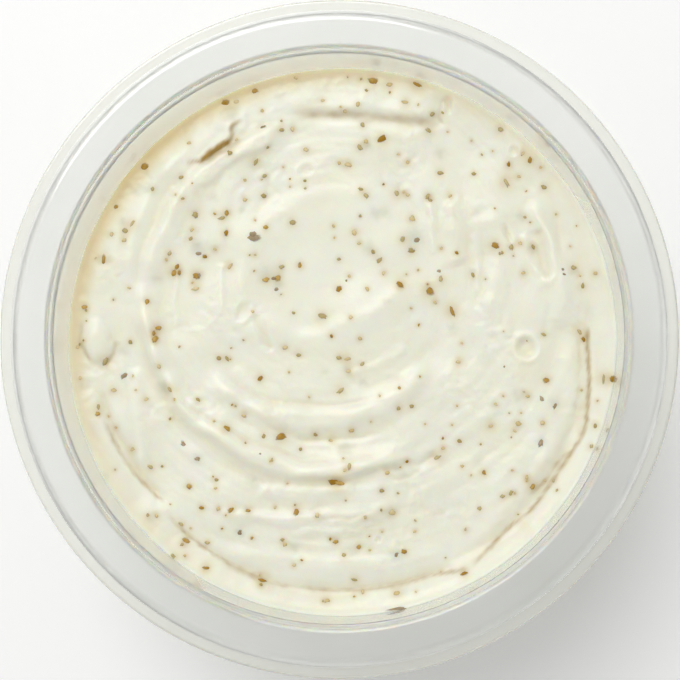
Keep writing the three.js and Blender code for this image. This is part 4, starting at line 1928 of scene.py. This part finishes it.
        # hollows, creases and the band along the wall get painted shade; sunk herbs and spice are the
        # cream's own colour
        masks = {"hollow_shade": hollow_shade, "sunk_herb": sunk, "spice": spice}
        masks |= {"crease_shade": self.crease_shades(across, up), "rim_shadow": self.rim_shadow(across, up)}
        on_top = np.arange(len(points)) < first
        for name, mask in masks.items():
            paint(plug, name, mask * on_top)
        dress(plug, CreamFinish().material())
        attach(plug, ROOT)
        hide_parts("aioli")
        return plug


# ------------------------------------------------------------------ studio
@dataclass(frozen=True)
class Studio:
    """A pale floor, a broad soft lamp from the upper left, soft light all round, and the camera."""

    focus_level: float = 43.5
    distance: float = 560.0
    tilt: float = math.radians(4.3)
    tilt_way: float = math.radians(-45)
    seen_width: float = 101.0
    looks_at: Point = (0.3, -0.32)
    sensor: float = 36.0
    nearest: float = 10.0
    floor_half: float = 1500.0
    floor_gap: float = 0.03
    lamp_way: float = math.radians(116)
    lamp_rise: float = math.radians(56)
    lamp_distance: float = 950.0
    lamp_size: float = 640.0
    lamp_power: float = 5.0
    sky_top: float = 0.73
    sky_side: float = 0.52

    def aim(self, thing: bpy.types.Object, way: float, rise: float, distance: float) -> None:
        """Stands a camera or lamp off the tub's mouth and turns it to look almost at its centre, +Y up.

        Args:
            thing: Camera or lamp, which looks along its own -Z.
            way: Direction round the axis, in radians from +X.
            rise: Height over the horizon, in radians.
            distance: Distance from the mouth, in mm.
        """
        flat = math.cos(rise)
        back = Vector((flat * math.cos(way), flat * math.sin(way), math.sin(rise)))
        right = Vector((0, 1, 0)).cross(back).normalized()
        up = back.cross(right)
        place = (Vector((*self.looks_at, self.focus_level)) + back * distance) * MM
        turn = Matrix((right, up, back)).transposed()
        thing.matrix_world = Matrix.Translation(place) @ turn.to_4x4()

    def camera(self) -> None:
        """Adds the camera, almost straight above, with a long lens."""
        data = bpy.data.cameras.new("camera")
        data.sensor_width = self.sensor
        data.lens = self.sensor * self.distance / self.seen_width
        data.clip_start = self.nearest * MM
        camera = bpy.data.objects.new("camera", data)
        bpy.context.scene.collection.objects.link(camera)
        self.aim(camera, self.tilt_way, math.pi / 2 - self.tilt, self.distance)
        bpy.context.scene.camera = camera

    def lamp(self) -> None:
        """Adds the soft lamp, which isn't seen through the plastic."""
        data = bpy.data.lights.new("soft_lamp", "AREA")
        data.shape = "DISK"
        data.size = self.lamp_size * MM
        data.energy = self.lamp_power
        lamp = bpy.data.objects.new("soft_lamp", data)
        bpy.context.scene.collection.objects.link(lamp)
        lamp.visible_transmission = False
        self.aim(lamp, self.lamp_way, self.lamp_rise, self.lamp_distance)

    def sky(self) -> None:
        """Adds soft light all round, brighter from above than from the sides."""
        world = bpy.data.worlds.new("soft_sky")
        world.use_nodes = True
        wiring = Wiring(world.node_tree)
        direction = wiring.add("ShaderNodeTexCoord").outputs["Generated"]
        height = wiring.add("ShaderNodeSeparateXYZ")
        wiring.feed(height.inputs[0], direction)
        background = wiring.add("ShaderNodeBackground")
        strength = wiring.between(height.outputs["Z"], self.sky_side, self.sky_top)
        wiring.feed(background.inputs["Strength"], strength)
        wiring.feed(wiring.add("ShaderNodeOutputWorld").inputs["Surface"], background.outputs[0])
        bpy.context.scene.world = world

    def floor(self) -> None:
        """Adds the pale floor, just under the foot."""
        half, level = self.floor_half, -self.floor_gap
        corners = ((-half, -half), (half, -half), (half, half), (-half, half))
        points = np.array([(x, y, level) for x, y in corners])
        floor = make_piece("floor", points, np.array([[0, 1, 2, 3]]), np.zeros((0, 3), int))
        dress(floor, FloorFinish().material())

    def build(self) -> None:
        """Sets up camera, light and floor, and shows colours as they are."""
        self.camera()
        self.lamp()
        self.sky()
        self.floor()
        bpy.context.scene.view_settings.view_transform = "Standard"


def all_flecks() -> dict[Herb, Fleckset]:
    """The flecks of each kind: those with a place of their own, and smaller ones strewn between."""
    strewn = {kind: Fleckset.strewn(*row) for kind, row in STREWN_FLECKS.items()}
    return {kind: Fleckset.placed(rows).joined(strewn[kind]) for kind, rows in PLACED_FLECKS.items()}


def report(piece: bpy.types.Object) -> None:
    """Logs a piece's name and number of faces."""
    log.info("%s: %d faces", piece.name, len(piece.data.polygons))


def write_sizes() -> None:
    """Updates the view layer."""
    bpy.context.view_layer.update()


def main() -> None:
    """Builds the tub, the aioli, the herbs and the studio."""
    logging.basicConfig(level=logging.INFO)
    _, tub_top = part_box("tub")
    tub = Tub(height=tub_top.z / MM, lip_radius=tub_top.x / MM)
    report(tub.build())
    surface = CreamSurface(tub)
    flecks = all_flecks()
    report(Aioli(surface).build(flecks))
    for number, kind in enumerate(Herb):
        report(Herbs(kind, flecks[kind], PROUD[kind], HERB_SEED + number).build(surface))
    Studio().build()
    write_sizes()


if __name__ == "__main__":
    main()
